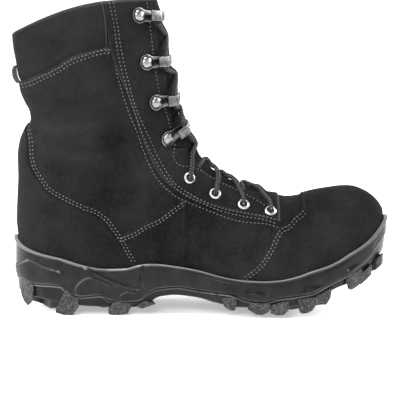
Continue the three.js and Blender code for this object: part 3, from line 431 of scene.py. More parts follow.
# A sheet with a top and an underside that meet all round
def addSheet(shape, top, bottom, mark=0):
    rows, columns = top.shape[:2]
    start = addGrid(shape, top, mark)
    other = addGrid(shape, bottom, mark, flip=True)
    ring = [(0, j) for j in range(columns)] + [(i, columns - 1) for i in range(1, rows)]
    ring += [(rows - 1, j) for j in range(columns - 2, -1, -1)] + [(i, 0) for i in range(rows - 2, 0, -1)]
    index = [i * columns + j for i, j in ring]
    for k in range(len(index)):
        p, q = index[k], index[(k + 1) % len(index)]
        shape["faces"].append([start + q, start + p, other + p, other + q])
        shape["marks"].append(mark)


# merge is in millimetres and crease in degrees
def makePiece(name, shape, materials, nodes, merge=0.0, crease=None):
    mesh = bpy.data.meshes.new(name)
    points = toFrame(np.concatenate(shape["points"]))
    mesh.from_pydata(points.tolist(), [], shape["faces"])
    for material in materials:
        mesh.materials.append(material)
    mesh.polygons.foreach_set("material_index", shape["marks"])
    bm = bmesh.new()
    bm.from_mesh(mesh)
    if merge:
        bmesh.ops.remove_doubles(bm, verts=bm.verts, dist=merge * 0.001)
    bmesh.ops.dissolve_degenerate(bm, dist=1e-6, edges=bm.edges)
    bmesh.ops.recalc_face_normals(bm, faces=bm.faces)
    for face in bm.faces:
        face.smooth = True
    if crease:
        for edge in bm.edges:
            if len(edge.link_faces) == 2 and edge.calc_face_angle(0) > math.radians(crease):
                edge.smooth = False
    bm.to_mesh(mesh)
    bm.free()
    made = bpy.data.objects.new(name, mesh)
    bpy.context.scene.collection.objects.link(made)
    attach(made, "root")
    if nodes:
        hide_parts(*nodes)
    return made


socketNames = {"color": "Base Color", "rough": "Roughness", "metal": "Metallic", "sheen": "Sheen Weight",
               "sheenRough": "Sheen Roughness", "sheenTint": "Sheen Tint", "specular": "Specular IOR Level"}


def newMaterial(name, **sockets):
    material = bpy.data.materials.new(name)
    material.use_nodes = True
    shader = material.node_tree.nodes["Principled BSDF"]
    for socket, value in sockets.items():
        shader.inputs[socketNames[socket]].default_value = value
    return material, material.node_tree, shader


def noise(tree, scale, detail, roughness):
    coordinates = tree.nodes.new("ShaderNodeTexCoord")
    made = tree.nodes.new("ShaderNodeTexNoise")
    made.inputs["Scale"].default_value = scale
    made.inputs["Detail"].default_value = detail
    made.inputs["Roughness"].default_value = roughness
    tree.links.new(coordinates.outputs["Object"], made.inputs["Vector"])
    return made.outputs["Fac"]


# Greys from one stop to the next, each a place on the ramp and a level
def ramp(tree, source, *stops):
    made = tree.nodes.new("ShaderNodeValToRGB")
    line = made.color_ramp
    while len(line.elements) < len(stops):
        line.elements.new(0.5)
    for element, (at, level) in zip(line.elements, stops):
        element.position = at
        element.color = grey(level)
    tree.links.new(source, made.inputs["Fac"])
    return made.outputs["Color"]


# Each layer is a source, its strength and its height in millimetres
def bump(tree, shader, *layers):
    before = None
    for source, strength, height in layers:
        made = tree.nodes.new("ShaderNodeBump")
        made.inputs["Strength"].default_value = strength
        made.inputs["Distance"].default_value = height * 0.001
        tree.links.new(source, made.inputs["Height"])
        if before:
            tree.links.new(before, made.inputs["Normal"])
        before = made.outputs["Normal"]
    tree.links.new(before, shader.inputs["Normal"])


def grey(level):
    return (level, level, level, 1)


def blend(tree, a, b, share):
    made = tree.nodes.new("ShaderNodeMix")
    made.data_type = "RGBA"
    made.inputs["Factor"].default_value = share
    tree.links.new(a, made.inputs["A"])
    tree.links.new(b, made.inputs["B"])
    return made.outputs["Result"]


# Edges that stick out are painted lighter: a painted highlight where light catches them
def paintedEdgeHighlight(tree, color, level, start=0.51, end=0.57):
    geometry = tree.nodes.new("ShaderNodeNewGeometry")
    share = ramp(tree, geometry.outputs["Pointiness"], (start, 0), (end, 1))
    made = tree.nodes.new("ShaderNodeMix")
    made.data_type = "RGBA"
    made.inputs["B"].default_value = grey(level)
    tree.links.new(share, made.inputs["Factor"])
    tree.links.new(color, made.inputs["A"])
    return made.outputs["Result"]


# dark and light are the greys of its clouds
def suedeMaterial(name, dark, light, nap=0.35):
    material, tree, shader = newMaterial(name, rough=0.95, sheen=0.035, sheenRough=0.35, specular=0.05,
                                         sheenTint=(0.5, 0.5, 0.52, 1))
    cloudy = ramp(tree, noise(tree, 16, 4, 0.6), (0.36, dark), (0.66, light))
    fine = ramp(tree, noise(tree, 500, 3, 0.7), (0.38, dark * 0.5), (0.66, light * 1.6))
    # painted highlight: the suede's edges that stick out, such as the laps' edges, are painted lighter
    tree.links.new(paintedEdgeHighlight(tree, blend(tree, cloudy, fine, 0.25), 0.032), shader.inputs["Base Color"])
    bump(tree, shader, (noise(tree, 1500, 2, 0.6), nap, 0.25), (noise(tree, 260, 3, 0.6), nap * 0.6, 0.4))
    return material


# edge is the grey of the highlight painted on its edges that stick out, and where it is 0 the rubber is
# speckled instead
def rubberMaterial(name, dark, light, rough, grain, grainScale, edge):
    material, tree, shader = newMaterial(name, rough=rough, specular=0.12)
    tint = ramp(tree, noise(tree, 60, 4, 0.6), (0.3, dark), (0.75, light))
    if edge:
        # painted highlight: the bead's top and the panels' edges are painted lighter
        tint = paintedEdgeHighlight(tree, tint, edge, 0.52, 0.59)
    else:
        speckle = ramp(tree, noise(tree, 650, 3, 0.7), (0.45, dark), (0.7, 0.13))
        tint = blend(tree, tint, speckle, 0.5)
    tree.links.new(tint, shader.inputs["Base Color"])
    matt = ramp(tree, noise(tree, 90, 5, 0.65), (0.35, rough * 0.82), (0.7, min(rough * 1.25, 1)))
    tree.links.new(matt, shader.inputs["Roughness"])
    bump(tree, shader, (noise(tree, grainScale, 3, 0.6), grain, 0.3))
    return material


suede = suedeMaterial("black suede", 0.0025, 0.0115)
paddedSuede = suedeMaterial("padded suede", 0.003, 0.0115, 0.3)
tongueLeather = suedeMaterial("tongue leather", 0.003, 0.007, 0.3)
soleRubber = rubberMaterial("satin rubber", 0.0015, 0.012, 0.34, 0.12, 900, 0.14)
lugRubber = rubberMaterial("grained rubber", 0.008, 0.03, 0.48, 0.9, 420, 0)


def nickelMaterial(name, dark, light):
    material, tree, shader = newMaterial(name, metal=1.0)
    tint = ramp(tree, noise(tree, 300, 3, 0.6), (0.35, dark), (0.7, light))
    tree.links.new(tint, shader.inputs["Base Color"])
    matt = ramp(tree, noise(tree, 500, 3, 0.6), (0.35, 0.24), (0.7, 0.42))
    tree.links.new(matt, shader.inputs["Roughness"])
    bump(tree, shader, (noise(tree, 900, 2, 0.5), 0.12, 0.1))
    return material


def threadMaterial():
    material, tree, shader = newMaterial("grey thread", rough=0.8, sheen=0.2)
    tint = ramp(tree, noise(tree, 900, 2, 0.6), (0.35, 0.03), (0.7, 0.1))
    tree.links.new(tint, shader.inputs["Base Color"])
    bump(tree, shader, (noise(tree, 2500, 2, 0.5), 0.4, 0.15))
    return material


def laceMaterial(name, level):
    material, tree, shader = newMaterial(name, rough=0.8, sheen=0.03, sheenRough=0.4, specular=0.2)
    tint = ramp(tree, noise(tree, 1300, 2, 0.7), (0.4, level), (0.7, level * 1.8))
    tree.links.new(tint, shader.inputs["Base Color"])
    bump(tree, shader, (noise(tree, 2200, 2, 0.5), 0.4, 0.2))
    return material


def liningMaterial():
    material, tree, shader = newMaterial("mesh lining", rough=0.95, sheen=0.2)
    coordinates = tree.nodes.new("ShaderNodeTexCoord")
    cells = tree.nodes.new("ShaderNodeTexVoronoi")
    cells.inputs["Scale"].default_value = 600
    tree.links.new(coordinates.outputs["Object"], cells.inputs["Vector"])
    tint = ramp(tree, cells.outputs["Distance"], (0.1, 0.006), (0.5, 0.03))
    tree.links.new(tint, shader.inputs["Base Color"])
    bump(tree, shader, (cells.outputs["Distance"], 0.5, 0.3))
    return material


def webbingMaterial():
    material, tree, shader = newMaterial("webbing", rough=0.85, sheen=0.25)
    coordinates = tree.nodes.new("ShaderNodeTexCoord")
    ribs = tree.nodes.new("ShaderNodeTexWave")
    ribs.bands_direction = "Z"
    ribs.inputs["Scale"].default_value = 260
    ribs.inputs["Distortion"].default_value = 1.5
    tree.links.new(coordinates.outputs["Object"], ribs.inputs["Vector"])
    tint = ramp(tree, ribs.outputs["Fac"], (0.1, 0.008), (0.8, 0.028))
    tree.links.new(tint, shader.inputs["Base Color"])
    bump(tree, shader, (ribs.outputs["Fac"], 0.5, 0.3))
    return material


nickel = nickelMaterial("nickel", 0.24, 0.42)
satinNickel = nickelMaterial("satin nickel", 0.06, 0.13)
# painted highlight: a lighter copy of the nickel for the hooks' domes and rounded rims
highlightNickel = nickelMaterial("painted highlight nickel", 0.16, 0.28)
# painted shade: near-black nickel for a flat ring round each hook's dome
shadeNickel = nickelMaterial("painted shade nickel", 0.01, 0.02)
thread = threadMaterial()
laceCord = laceMaterial("braided cord", 0.005)
# painted highlight: lighter cord for the flecks that stand in for the braid's grey highlights
highlightCord = laceMaterial("cord highlights", 0.07)
lining = liningMaterial()
webbing = webbingMaterial()
print("materials made")

# Seams and edges of the outer side by pixels of the photograph; the inner side has the same
seamPixels = {
    "cuff": [(19, 83), (24.2, 81.1), (32.3, 78.9), (45.5, 72.6), (57.2, 66.8), (69.7, 58.7), (80.7, 54.3),
             (95.4, 49.2), (108.6, 47), (116, 49)],
    "outerRow": [(112.4, 53), (118, 76), (123.2, 93.5), (127.2, 105.8),
                 (131.4, 117.4), (137.7, 132.4), (141.5, 144.6), (146.3, 156.5), (150.7, 167.2),
                 (156.8, 177.7), (162.4, 184.2), (168.5, 190.3), (178.8, 197.8), (200, 207), (223, 216),
                 (239, 221), (255.5, 223), (268, 224), (279.6, 228)],
    "middleRow": [(108, 3), (109.5, 9.6), (112.5, 21.4), (114.6, 33.6), (116.2, 45.9), (120, 64), (124.5, 80),
                  (128.8, 94.8), (132.6, 106.7), (136.8, 118.5), (142.2, 133.4), (146.9, 144.6),
                  (152.6, 155.3), (158, 165.4), (164.3, 175.2), (171.6, 183.6), (179.4, 191.3),
                  (189.7, 197.6), (205, 204.5), (222, 211.5), (245, 217), (262, 219.5), (276, 224)],
    "innerRow": [(112, 3), (113.3, 8.3), (115.7, 20.4), (118, 32.2), (119.7, 44.5), (123.5, 62), (128, 79.5),
                 (132.2, 95.7), (136, 107.2), (140.3, 118.1), (146.5, 132.1), (151.1, 141.9), (157.2, 155.7),
                 (163, 165.8), (170.4, 178.6), (178.5, 186.5), (188.4, 192.8), (197.8, 198.5), (212, 205),
                 (230, 210.5), (250, 214), (266, 217), (277, 220.5)],
    "facing": [(146, 3), (148.6, 23), (151.8, 48.5), (155.6, 75), (158.8, 92), (165.8, 113.5),
               (169.6, 127.6), (173, 138), (174.3, 145.5), (172.7, 151), (173, 156), (173.7, 159.5),
               (176.3, 162.7), (181.4, 166), (188, 166)],
    "facingLow": [(188, 166), (198.6, 169.5), (206, 174.5), (213, 178.5), (222, 184), (234, 189),
                  (248, 196), (262, 204), (272, 212)],
    "vamp": [(303, 209), (299, 214), (295, 216), (291, 221), (287, 225), (280, 228), (274.4, 237),
             (268.7, 250), (259.5, 264), (250, 272), (240, 279), (232, 284)],
    "quarter": [(184, 199), (169, 210), (158, 218), (143, 225), (131.5, 232), (118, 237), (104, 243)],
    "counter": [(27, 127), (28.7, 141), (29, 156), (31, 166), (36, 176), (43, 187), (48, 193), (61, 201),
                (76, 208.5), (92, 215), (102, 221.5), (109.5, 231), (117, 242), (122.5, 253), (129, 264),
                (133, 272)],
}


def seamLine(name):
    return pixelPlace(smoothLine(seamPixels[name], 6))


seams = {name: seamLine(name) for name in seamPixels}

# Creases of the worn ankle and vamp: pixel paths, how deep and how wide, in millimetres. The one with
# a negative depth is a soft fold that stands out.
creases = [
    {"path": [(30, 108), (52, 118), (80, 122), (104, 118)], "depth": 1.6, "width": 4.5},
    {"path": [(38, 132), (62, 146), (92, 150), (118, 142)], "depth": 1.9, "width": 5},
    {"path": [(48, 168), (78, 178), (110, 176), (138, 168)], "depth": 1.5, "width": 5},
    {"path": [(30, 92), (60, 97), (96, 90)], "depth": -1.2, "width": 5},
    {"path": [(122, 205), (140, 190), (150, 172)], "depth": 0.7, "width": 5},
    {"path": [(196, 222), (214, 240), (222, 262)], "depth": 0.7, "width": 6},
    {"path": [(236, 230), (244, 246), (240, 262)], "depth": 0.8, "width": 5},
    {"path": [(292, 238), (300, 252), (298, 268)], "depth": 0.7, "width": 6},
    {"path": [(312, 222), (322, 240), (322, 262)], "depth": 0.6, "width": 7},
]
for crease in creases:
    crease["line"] = pixelPlace(smoothLine(crease["path"], 5))


# Distance from a line of the side view, positive ahead of it
def ahead(x, z, line):
    order = np.argsort(line[:, 1])
    edge = np.interp(z, line[order, 1], line[order, 0])
    return np.where(x > edge, 1, -1) * lineDistance(x, z, line)


# The same, positive below it
def under(x, z, line):
    order = np.argsort(line[:, 0])
    edge = np.interp(x, line[order, 0], line[order, 1])
    return np.where(z < edge, 1, -1) * lineDistance(x, z, line)


# Laps of the sewn leather: edge is half the width of the step, and the others say where a lap fades
lap = {"edge": 0.25, "fade": 3, "shaftFront": (86, 81), "shaftLow": (130, 160), "cuffFade": (2, 20)}


# How far the leather stands out from its base surface
def leatherRelief(x, z):
    relief = boot["vampLap"] * smooth(-lap["edge"], lap["edge"], ahead(x, z, seams["vamp"]))
    low, high = seams["quarter"][:, 0].min(), seams["quarter"][:, 0].max()
    within = smooth(low - lap["fade"], low, x) * smooth(high + lap["fade"], high, x)
    relief += boot["quarterLap"] * smooth(-lap["edge"], lap["edge"], under(x, z, seams["quarter"])) * within
    below = under(x, z, seams["cuff"])
    shaft = smooth(*lap["shaftFront"], x) * smooth(*lap["shaftLow"], z)
    fade = 1 - smooth(*lap["cuffFade"], below)
    relief += boot["cuffLap"] * smooth(-lap["edge"], lap["edge"], below) * fade * shaft
    for crease in creases:
        near = lineDistance(x, z, crease["line"])
        relief -= crease["depth"] * np.exp(-(near / crease["width"]) ** 2)
    return relief


upper = {"rows": 262, "columns": 92, "start": 0.0016}


def makeUpper():
    rows = np.linspace(0, 1, upper["rows"])
    a = np.concatenate([[0.0], upper["start"] + rows * (1 - upper["start"])])
    outer, inner = throatEdge(a)
    spread = np.linspace(0, 1, upper["columns"])
    shape = newShape()
    halves = []
    for side, edge in ((-1, outer), (1, inner)):
        w = side * (edge[:, None] + (1 - edge[:, None]) * spread[None, :])
        at = np.repeat(a[:, None], upper["columns"], 1)
        spots = skinSpot(at, w)
        relief = leatherRelief(spots[..., 0], spots[..., 2])
        top = spots + skinNormal(at, w) * relief[..., None]
        inside = spots - skinNormal(at, w) * boot["wall"]
        halves.append((top, inside))
    for k, (top, inside) in enumerate(halves):
        addGrid(shape, top, 0, flip=k == 0)
        addGrid(shape, inside, 1, flip=k == 1)
        # the collar's rim, the facing's edge and the foot
        addGrid(shape, np.stack([top[-1], inside[-1]]), 0)
        openRows = np.where(a * collarSection > throatSection - 0.05)[0]
        addGrid(shape, np.stack([top[openRows, 0], inside[openRows, 0]]), 0)
        foot = np.where(a * collarSection < heelSection + 0.05)[0]
        addGrid(shape, np.stack([top[foot, -1], inside[foot, -1]]), 0)
    makePiece("upper", shape, [suede, lining], ["upper"], merge=0.02, crease=55)


makeUpper()
print("upper made")


# A sewn panel between two edges that run side by side, given as a and |w|. Its border rounds down to
# the leather under it, and it is closed below.
def addPanel(shape, first, second, side, out, mark=0, columns=26, base=0.1, shapeOut=None, roundFirst=True,
             roundSecond=True, edgeRound=1.3, endRound=True):
    first, second = np.asarray(first), np.asarray(second)
    width = np.linalg.norm(skinSpot(first[:, 0], side * first[:, 1])
                           - skinSpot(second[:, 0], side * second[:, 1]), axis=-1)
    share = np.clip(edgeRound / np.maximum(width, edgeRound * 2.5), 0, 0.4)
    near = np.array([0, 0.08, 0.3, 0.62, 1.0])  # columns crowd where the border rounds down
    inner = np.linspace(0, 1, columns)[1:-1]
    c = np.array([np.concatenate([near * s, s + inner * (1 - 2 * s), 1 - near[::-1] * s]) for s in share])
    a = mix(first[:, None, 0], second[:, None, 0], c)
    w = mix(first[:, None, 1], second[:, None, 1], c)
    spots = skinSpot(a, side * w)
    normals = skinNormal(a, side * w)
    fromFirst = c * width[:, None]
    fromSecond = (1 - c) * width[:, None]
    lengths = np.linalg.norm(np.diff(spots[:, columns // 2], axis=0), axis=-1)
    along = np.concatenate([[0], np.cumsum(lengths)])
    toEnd = np.minimum(along, along[-1] - along)[:, None]
    rise = np.ones(c.shape)
    for gap, use in ((fromFirst, roundFirst), (fromSecond, roundSecond), (toEnd + 0 * c, endRound)):
        if use:
            t = np.clip(gap / edgeRound, 0, 1)
            rise = rise * np.sqrt(np.maximum(1 - (1 - t) ** 2, 0))
    height = base + (out - base) * rise
    if shapeOut is not None:
        height = height + shapeOut(spots, c) * rise
    top = spots + normals * height[..., None]
    bottom = spots + normals * (base - 0.25)
    if side > 0:
        top, bottom = top[:, ::-1], bottom[:, ::-1]
    addSheet(shape, top, bottom, mark)


def placesOf(line):
    a, w = locate(line[:, 0], line[:, 1])
    return np.stack([a, w], -1)


stitch = {"pitch": 3.1, "length": 1.5, "radius": 0.38, "sides": 6, "proud": 0.14, "sink": 0.3}
# Rings of one stitch: place along it, width and lift, as shares
stitchRings = [(-1.0, 0.15, -0.5), (-0.8, 0.8, -0.1), (0.0, 1.0, 0.12), (0.8, 0.8, -0.1), (1.0, 0.15, -0.5)]


# A row of stitches: each is a short capsule that dips into the leather at its ends. Without out they
# follow the leather's relief.
def addStitches(shape, line, sides=(-1, 1), out=None, mark=0):
    spread = evenly(line, stitch["pitch"])
    places = placesOf(spread)
    middle = (spread[1:] + spread[:-1]) / 2
    level = leatherRelief(middle[:, 0], middle[:, 1]) if out is None else out
    for side in sides:
        mid = (places[1:] + places[:-1]) / 2
        spots = skin(mid[:, 0], side * mid[:, 1], level + stitch["proud"])
        ends = skin(places[:, 0], side * places[:, 1])
        tangents = unit(np.diff(ends, axis=0))
        normals = skinNormal(mid[:, 0], side * mid[:, 1])
        across = np.cross(normals, tangents)
        angles = np.arange(stitch["sides"]) * 2 * np.pi / stitch["sides"]
        faces = gridFaces(len(stitchRings), stitch["sides"], wrapColumns=True)
        for spot, t, n, s in zip(spots, tangents, normals, across):
            points = []
            for place, wide, lift in stitchRings:
                centre = spot + t * place * stitch["length"] / 2 + n * lift * stitch["radius"]
                r = wide * stitch["radius"]
                points.extend(centre + s * math.cos(g) * r + n * math.sin(g) * r for g in angles)
            addFaces(shape, points, faces, mark)


def offsetLine(line, distance):
    tangent = unit(np.gradient(line, axis=0))
    return line + np.stack([-tangent[:, 1], tangent[:, 0]], -1) * distance


eyestay = {"rows": 260, "columns": 70, "edge": 0.002, "top": 0.9998,
           "stitched": ("middleRow", "innerRow", "facing", "facingLow")}


def eyestayRear():
    along, up = eyestayBack["along"] * boot["length"], eyestayBack["up"] * boot["height"]
    places = placesOf(smoothLine(np.stack([along, up], -1)))
    places = places[places[:, 0] < 0.9999]
    return places[np.argsort(places[:, 0])]


# Leather dips along each row of stitches
def grooves(lines, depth=0.28, width=0.9):
    def dip(spots, _):
        x, z = spots[..., 0], spots[..., 2]
        total = np.zeros(x.shape)
        for line in lines:
            total -= depth * np.exp(-(lineDistance(x, z, line[::3]) / width) ** 2)
        return total
    return dip


def makeEyestays():
    rear = eyestayRear()
    a = np.linspace(rear[0, 0], eyestay["top"], eyestay["rows"])
    rearW = np.interp(a, rear[:, 0], rear[:, 1])
    outer, inner = throatEdge(a)
    rows = [seams[row] for row in eyestay["stitched"]]
    for name, side, edge in (("eyestay_lateral", -1, outer), ("eyestay_medial", 1, inner)):
        shape = newShape()
        first = np.stack([a, edge + eyestay["edge"]], -1)
        second = np.stack([a, rearW], -1)
        addPanel(shape, first, second, side, overlayOut, columns=eyestay["columns"], shapeOut=grooves(rows))
        for row in rows:
            addStitches(shape, row, (side,), overlayOut - stitch["sink"], 1)
        addStitches(shape, seams["outerRow"], (side,), mark=1)
        makePiece(name, shape, [suede, thread], [name])


makeEyestays()
print("eyestays made")

# Places along a line of the outer side, at shares of its length over the surface
def respaced(places, shares):
    spots = skinSpot(places[:, 0], -places[:, 1])
    lengths = np.concatenate([[0], np.cumsum(np.linalg.norm(np.diff(spots, axis=0), axis=1))])
    return np.stack([np.interp(shares * lengths[-1], lengths, places[:, i]) for i in range(2)], -1)


counter = {"rows": 150, "columns": 44, "stitchRows": (2.6, 5.0), "fromBack": 13, "overLip": 2}


def makeCounter():
    edge = placesOf(evenly(seams["counter"], 1.0))
    top = np.array([[edge[0, 0] + 0.012, 1.0]])
    edge = np.concatenate([top, edge])
    keep = [0]
    for i in range(1, len(edge)):
        if edge[i, 0] < edge[keep[-1], 0] + 0.004:
            keep.append(i)
    edge = edge[keep]
    shares = np.linspace(0, 1, counter["rows"])
    first = respaced(edge, shares)
    last = min(edge[-1, 0], first[-1, 0])
    second = np.stack([mix(first[0, 0], last, shares), np.ones(counter["rows"])], -1)
    rows = [offsetLine(seams["counter"], distance) for distance in counter["stitchRows"]]
    shape = newShape()
    for side in (-1, 1):
        addPanel(shape, first, second, side, overlayOut, columns=counter["columns"], roundSecond=False,
                 endRound=False, shapeOut=grooves(rows))
        for row in rows:
            lip = lipHeight(row[:, 0] / boot["length"]) + counter["overLip"]
            clear = row[(row[:, 0] > counter["fromBack"]) & (row[:, 1] > lip)]
            addStitches(shape, clear, (side,), overlayOut - stitch["sink"], 1)
    makePiece("heel_counter", shape, [suede, thread], ["heel_counter"], merge=0.02)


makeCounter()

cuff = {"rows": 60, "columns": 130, "puff": 1.5, "sunk": 1.3, "wrinkles": 0.35, "out": boot["cuff"] - 0.6,
        "top": 0.9995, "stitchRows": (-2.2, -4.8)}


def puff(spots, c):
    soft = cuff["puff"] * smooth(0, 0.45, c) * (0.75 + 0.25 * smooth(1.0, 0.8, c))
    soft = soft - cuff["sunk"] * (1 - smooth(0, 0.14, c))
    x, z = spots[..., 0], spots[..., 2]
    folds = np.sin(x * 0.31 + z * 0.12) * np.sin(z * 0.27 - x * 0.05) * np.sin(np.pi * c)
    return soft + cuff["wrinkles"] * folds


def makeCuff():
    places = placesOf(seams["cuff"][::-1])
    rear = eyestayRear()
    gap = np.interp(places[:, 0], rear[:, 0], rear[:, 1])
    places = places[places[:, 1] > gap + 0.004]
    shares = np.linspace(0, 1, cuff["columns"])
    low = respaced(places, shares)
    low[-1, 1] = 1
    topEdge = np.interp(cuff["top"], rear[:, 0], rear[:, 1]) + 0.006
    high = np.stack([np.full(cuff["columns"], cuff["top"]), mix(topEdge, 1, shares)], -1)
    shape = newShape()
    for side in (-1, 1):
        addPanel(shape, low, high, side, cuff["out"], columns=cuff["rows"], roundFirst=False,
                 edgeRound=2.4, endRound=False, shapeOut=puff)
    for row in cuff["stitchRows"]:
        addStitches(shape, offsetLine(seams["cuff"][4:-4], row), mark=1)
    made = makePiece("cuff", shape, [paddedSuede, thread], ["cuff"], merge=0.02)


makeCuff()
print("counter and cuff made")


tongue = {"rows": 200, "columns": 61, "bulge": 3.6, "ripple": 0.35, "ripples": 150}


def makeTongue():
    a = np.linspace((throatSection + 0.35) / collarSection, 1, tongue["rows"])
    outer, inner = throatEdge(a)
    c = np.linspace(0, 1, tongue["columns"])
    reach = []
    for side, edge in ((-1, outer), (1, inner)):
        step = skinSpot(a, side * (edge + 0.02))
        near = skinSpot(a, side * edge)
        perMm = 0.02 / np.maximum(np.linalg.norm(step - near, axis=-1), 0.1)
        reach.append(edge + boot["tongueMargin"] * perMm)
    w = mix(-reach[0][:, None], reach[1][:, None], c[None, :])
    at = np.repeat(a[:, None], len(c), 1)
    middle = np.sin(np.pi * c)[None, :] ** 2
    ripple = tongue["ripple"] * np.sin(at * tongue["ripples"]) * middle
    out = -boot["wall"] - boot["fit"] + tongue["bulge"] * middle + ripple
    top = skin(at, w, out)
    bottom = skin(at, w, -boot["wall"] - boot["fit"] - boot["tongue"])
    shape = newShape()
    addSheet(shape, top, bottom)
    makePiece("tongue", shape, [tongueLeather], ["tongue"])


makeTongue()

insole = {"rows": 90, "columns": 41, "gap": 1, "dish": 1.2}


def makeInsole():
    turns = np.linspace(0.02, np.pi - 0.02, insole["rows"])
    along = (1 - np.cos(turns)) / 2
    c = np.linspace(-1, 1, insole["columns"])
    inset = wallInset + boot["wall"] + insole["gap"]
    outer = planPoint(along, -1, inset, 0)
    inner = planPoint(along, 1, inset, 0)
    share = (c + 1) / 2
    y = mix(outer[:, None, 1], inner[:, None, 1], share[None, :])
    x = np.repeat(outer[:, None, 0], len(c), 1)
    low = (seatHeight(along) + boot["fit"])[:, None] + 0 * y
    dish = insole["dish"] * (c[None, :] ** 2) * np.sin(turns)[:, None]
    top = np.stack([x, y, low + boot["insole"] - 1 + dish], -1)
    bottom = np.stack([x, y, low], -1)
    shape = newShape()
    addSheet(shape, top, bottom)
    makePiece("insole", shape, [lining], ["insole"])


makeInsole()

tab = {"rows": 22, "columns": 15, "height": 14, "width": 16, "thickness": 2.4, "lean": 1.6,
       "low": 0.732 * boot["height"], "sewnIn": 1.9, "swell": 0.5}


def makePullTab():
    up = np.linspace(0, 1, tab["rows"])
    across = np.linspace(-1, 1, tab["columns"])
    z = tab["low"] + tab["height"] * up
    sewn = np.abs(2 * up - 1) ** 3
    front = np.array([float(backX(v)) - boot["cuff"] - 3 * boot["fit"] for v in z])
    front = front - tab["lean"] * up + tab["sewnIn"] * sewn
    swell = tab["swell"] * np.sin(np.pi * up)
    sideRound = 1 - 0.25 * across[None, :] ** 4
    taper = 0.75 + 0.25 * np.sin(np.pi * np.clip(up * 0.5 + 0.5, 0, 1))
    thick = tab["thickness"] * taper[:, None] * sideRound
    y = across[None, :] * tab["width"] / 2 + 0 * z[:, None]
    level = z[:, None] + 0 * y
    top = np.stack([front[:, None] - thick - swell[:, None], y, level], -1)
    bottom = np.stack([front[:, None] + 0 * y, y, level], -1)
    shape = newShape()
    addSheet(shape, top, bottom)
    makePiece("pull_tab", shape, [webbing], ["pull_tab"])


makePullTab()
print("tongue, insole and pull tab made")

# Sole: ridges and grooves of its side by pixels of the photograph. height is how far each stands out
sideLines = [
    {"path": [(142, 267), (139.8, 272.5), (138.8, 280), (139.8, 288)], "height": -1.6, "width": 0.9},
    {"path": [(217, 296), (223.6, 308.7)], "height": -1.1, "width": 0.9},
    {"path": [(177, 290), (177.5, 298)], "height": -0.5, "width": 0.6},
    {"path": [(198.6, 291), (200, 300)], "height": -0.5, "width": 0.6},
    {"path": [(250, 292), (258, 292.5), (268, 294.5)], "height": -2.0, "width": 2.2},
    {"path": [(307, 291), (314, 287.5), (323, 286.5)], "height": -2.0, "width": 2.2},
    {"path": [(352, 269.5), (355, 267), (357.5, 265.5)], "height": -1.7, "width": 1.8},
    {"path": [(377, 248), (380, 242)], "height": -1.2, "width": 1.2},
]
# Raised panels: each has a crisp upper edge along its path and falls away below it
sidePanels = [
    {"path": [(14, 264), (18.6, 263.1), (26.5, 260.3), (32.1, 261.1), (40.9, 265.9), (50, 269.8),
              (60, 272.7)], "height": 2.0, "fall": 8},
    {"path": [(83.1, 267.1), (96.7, 275.1), (106, 279.8), (116.6, 284.3), (130, 288.6), (139.9, 289.5)],
     "height": 1.8, "fall": 5},
    {"path": [(73.2, 291), (74.4, 287), (80.8, 280.7), (87.9, 277.9), (95.1, 279.5), (110.3, 286.3)],
     "height": 1.7, "fall": 6},
    {"path": [(118, 298.5), (120, 294.9), (126.1, 292.3), (133.3, 293.4), (135.8, 295.4)],
     "height": 1.4, "fall": 3},
]
for line in sideLines + sidePanels:
    line["line"] = pixelPlace(smoothLine(line["path"], 5), sole=True)

# The bead runs along the top edge with a groove below it, and the seam is a deeper one
midsole = {"stations": 300, "levels": 34, "bead": 0.75, "beadEnd": (3.0, 2.2), "groove": 0.35,
           "grooveAt": 3.4, "grooveWidth": 0.7, "seam": 1.5, "seamWidth": 1.4, "rounding": 1.1,
           "insets": (0.5, 0.9, 0.0)}


def sideRelief(x, z):
    relief = np.zeros(x.shape)
    for line in sideLines:
        near = lineDistance(x, z, line["line"])
        relief += line["height"] * np.exp(-(near / line["width"]) ** 2)
    for panel in sidePanels:
        line = panel["line"]
        below = under(x, z, line)
        first, last = line[0, 0], line[-1, 0]
        within = smooth(first - 0.8, first + 1.2, x) * smooth(last + 1.2, last - 0.8, x)
        fall = np.exp(-np.maximum(below, 0) / panel["fall"])
        relief += panel["height"] * smooth(-0.35, 0.35, below) * fall * within
    return relief


# Shares of the length, closer together at the heel and the toe
def stationsOf(count):
    return (1 - np.cos(np.linspace(0, np.pi, count))) / 2


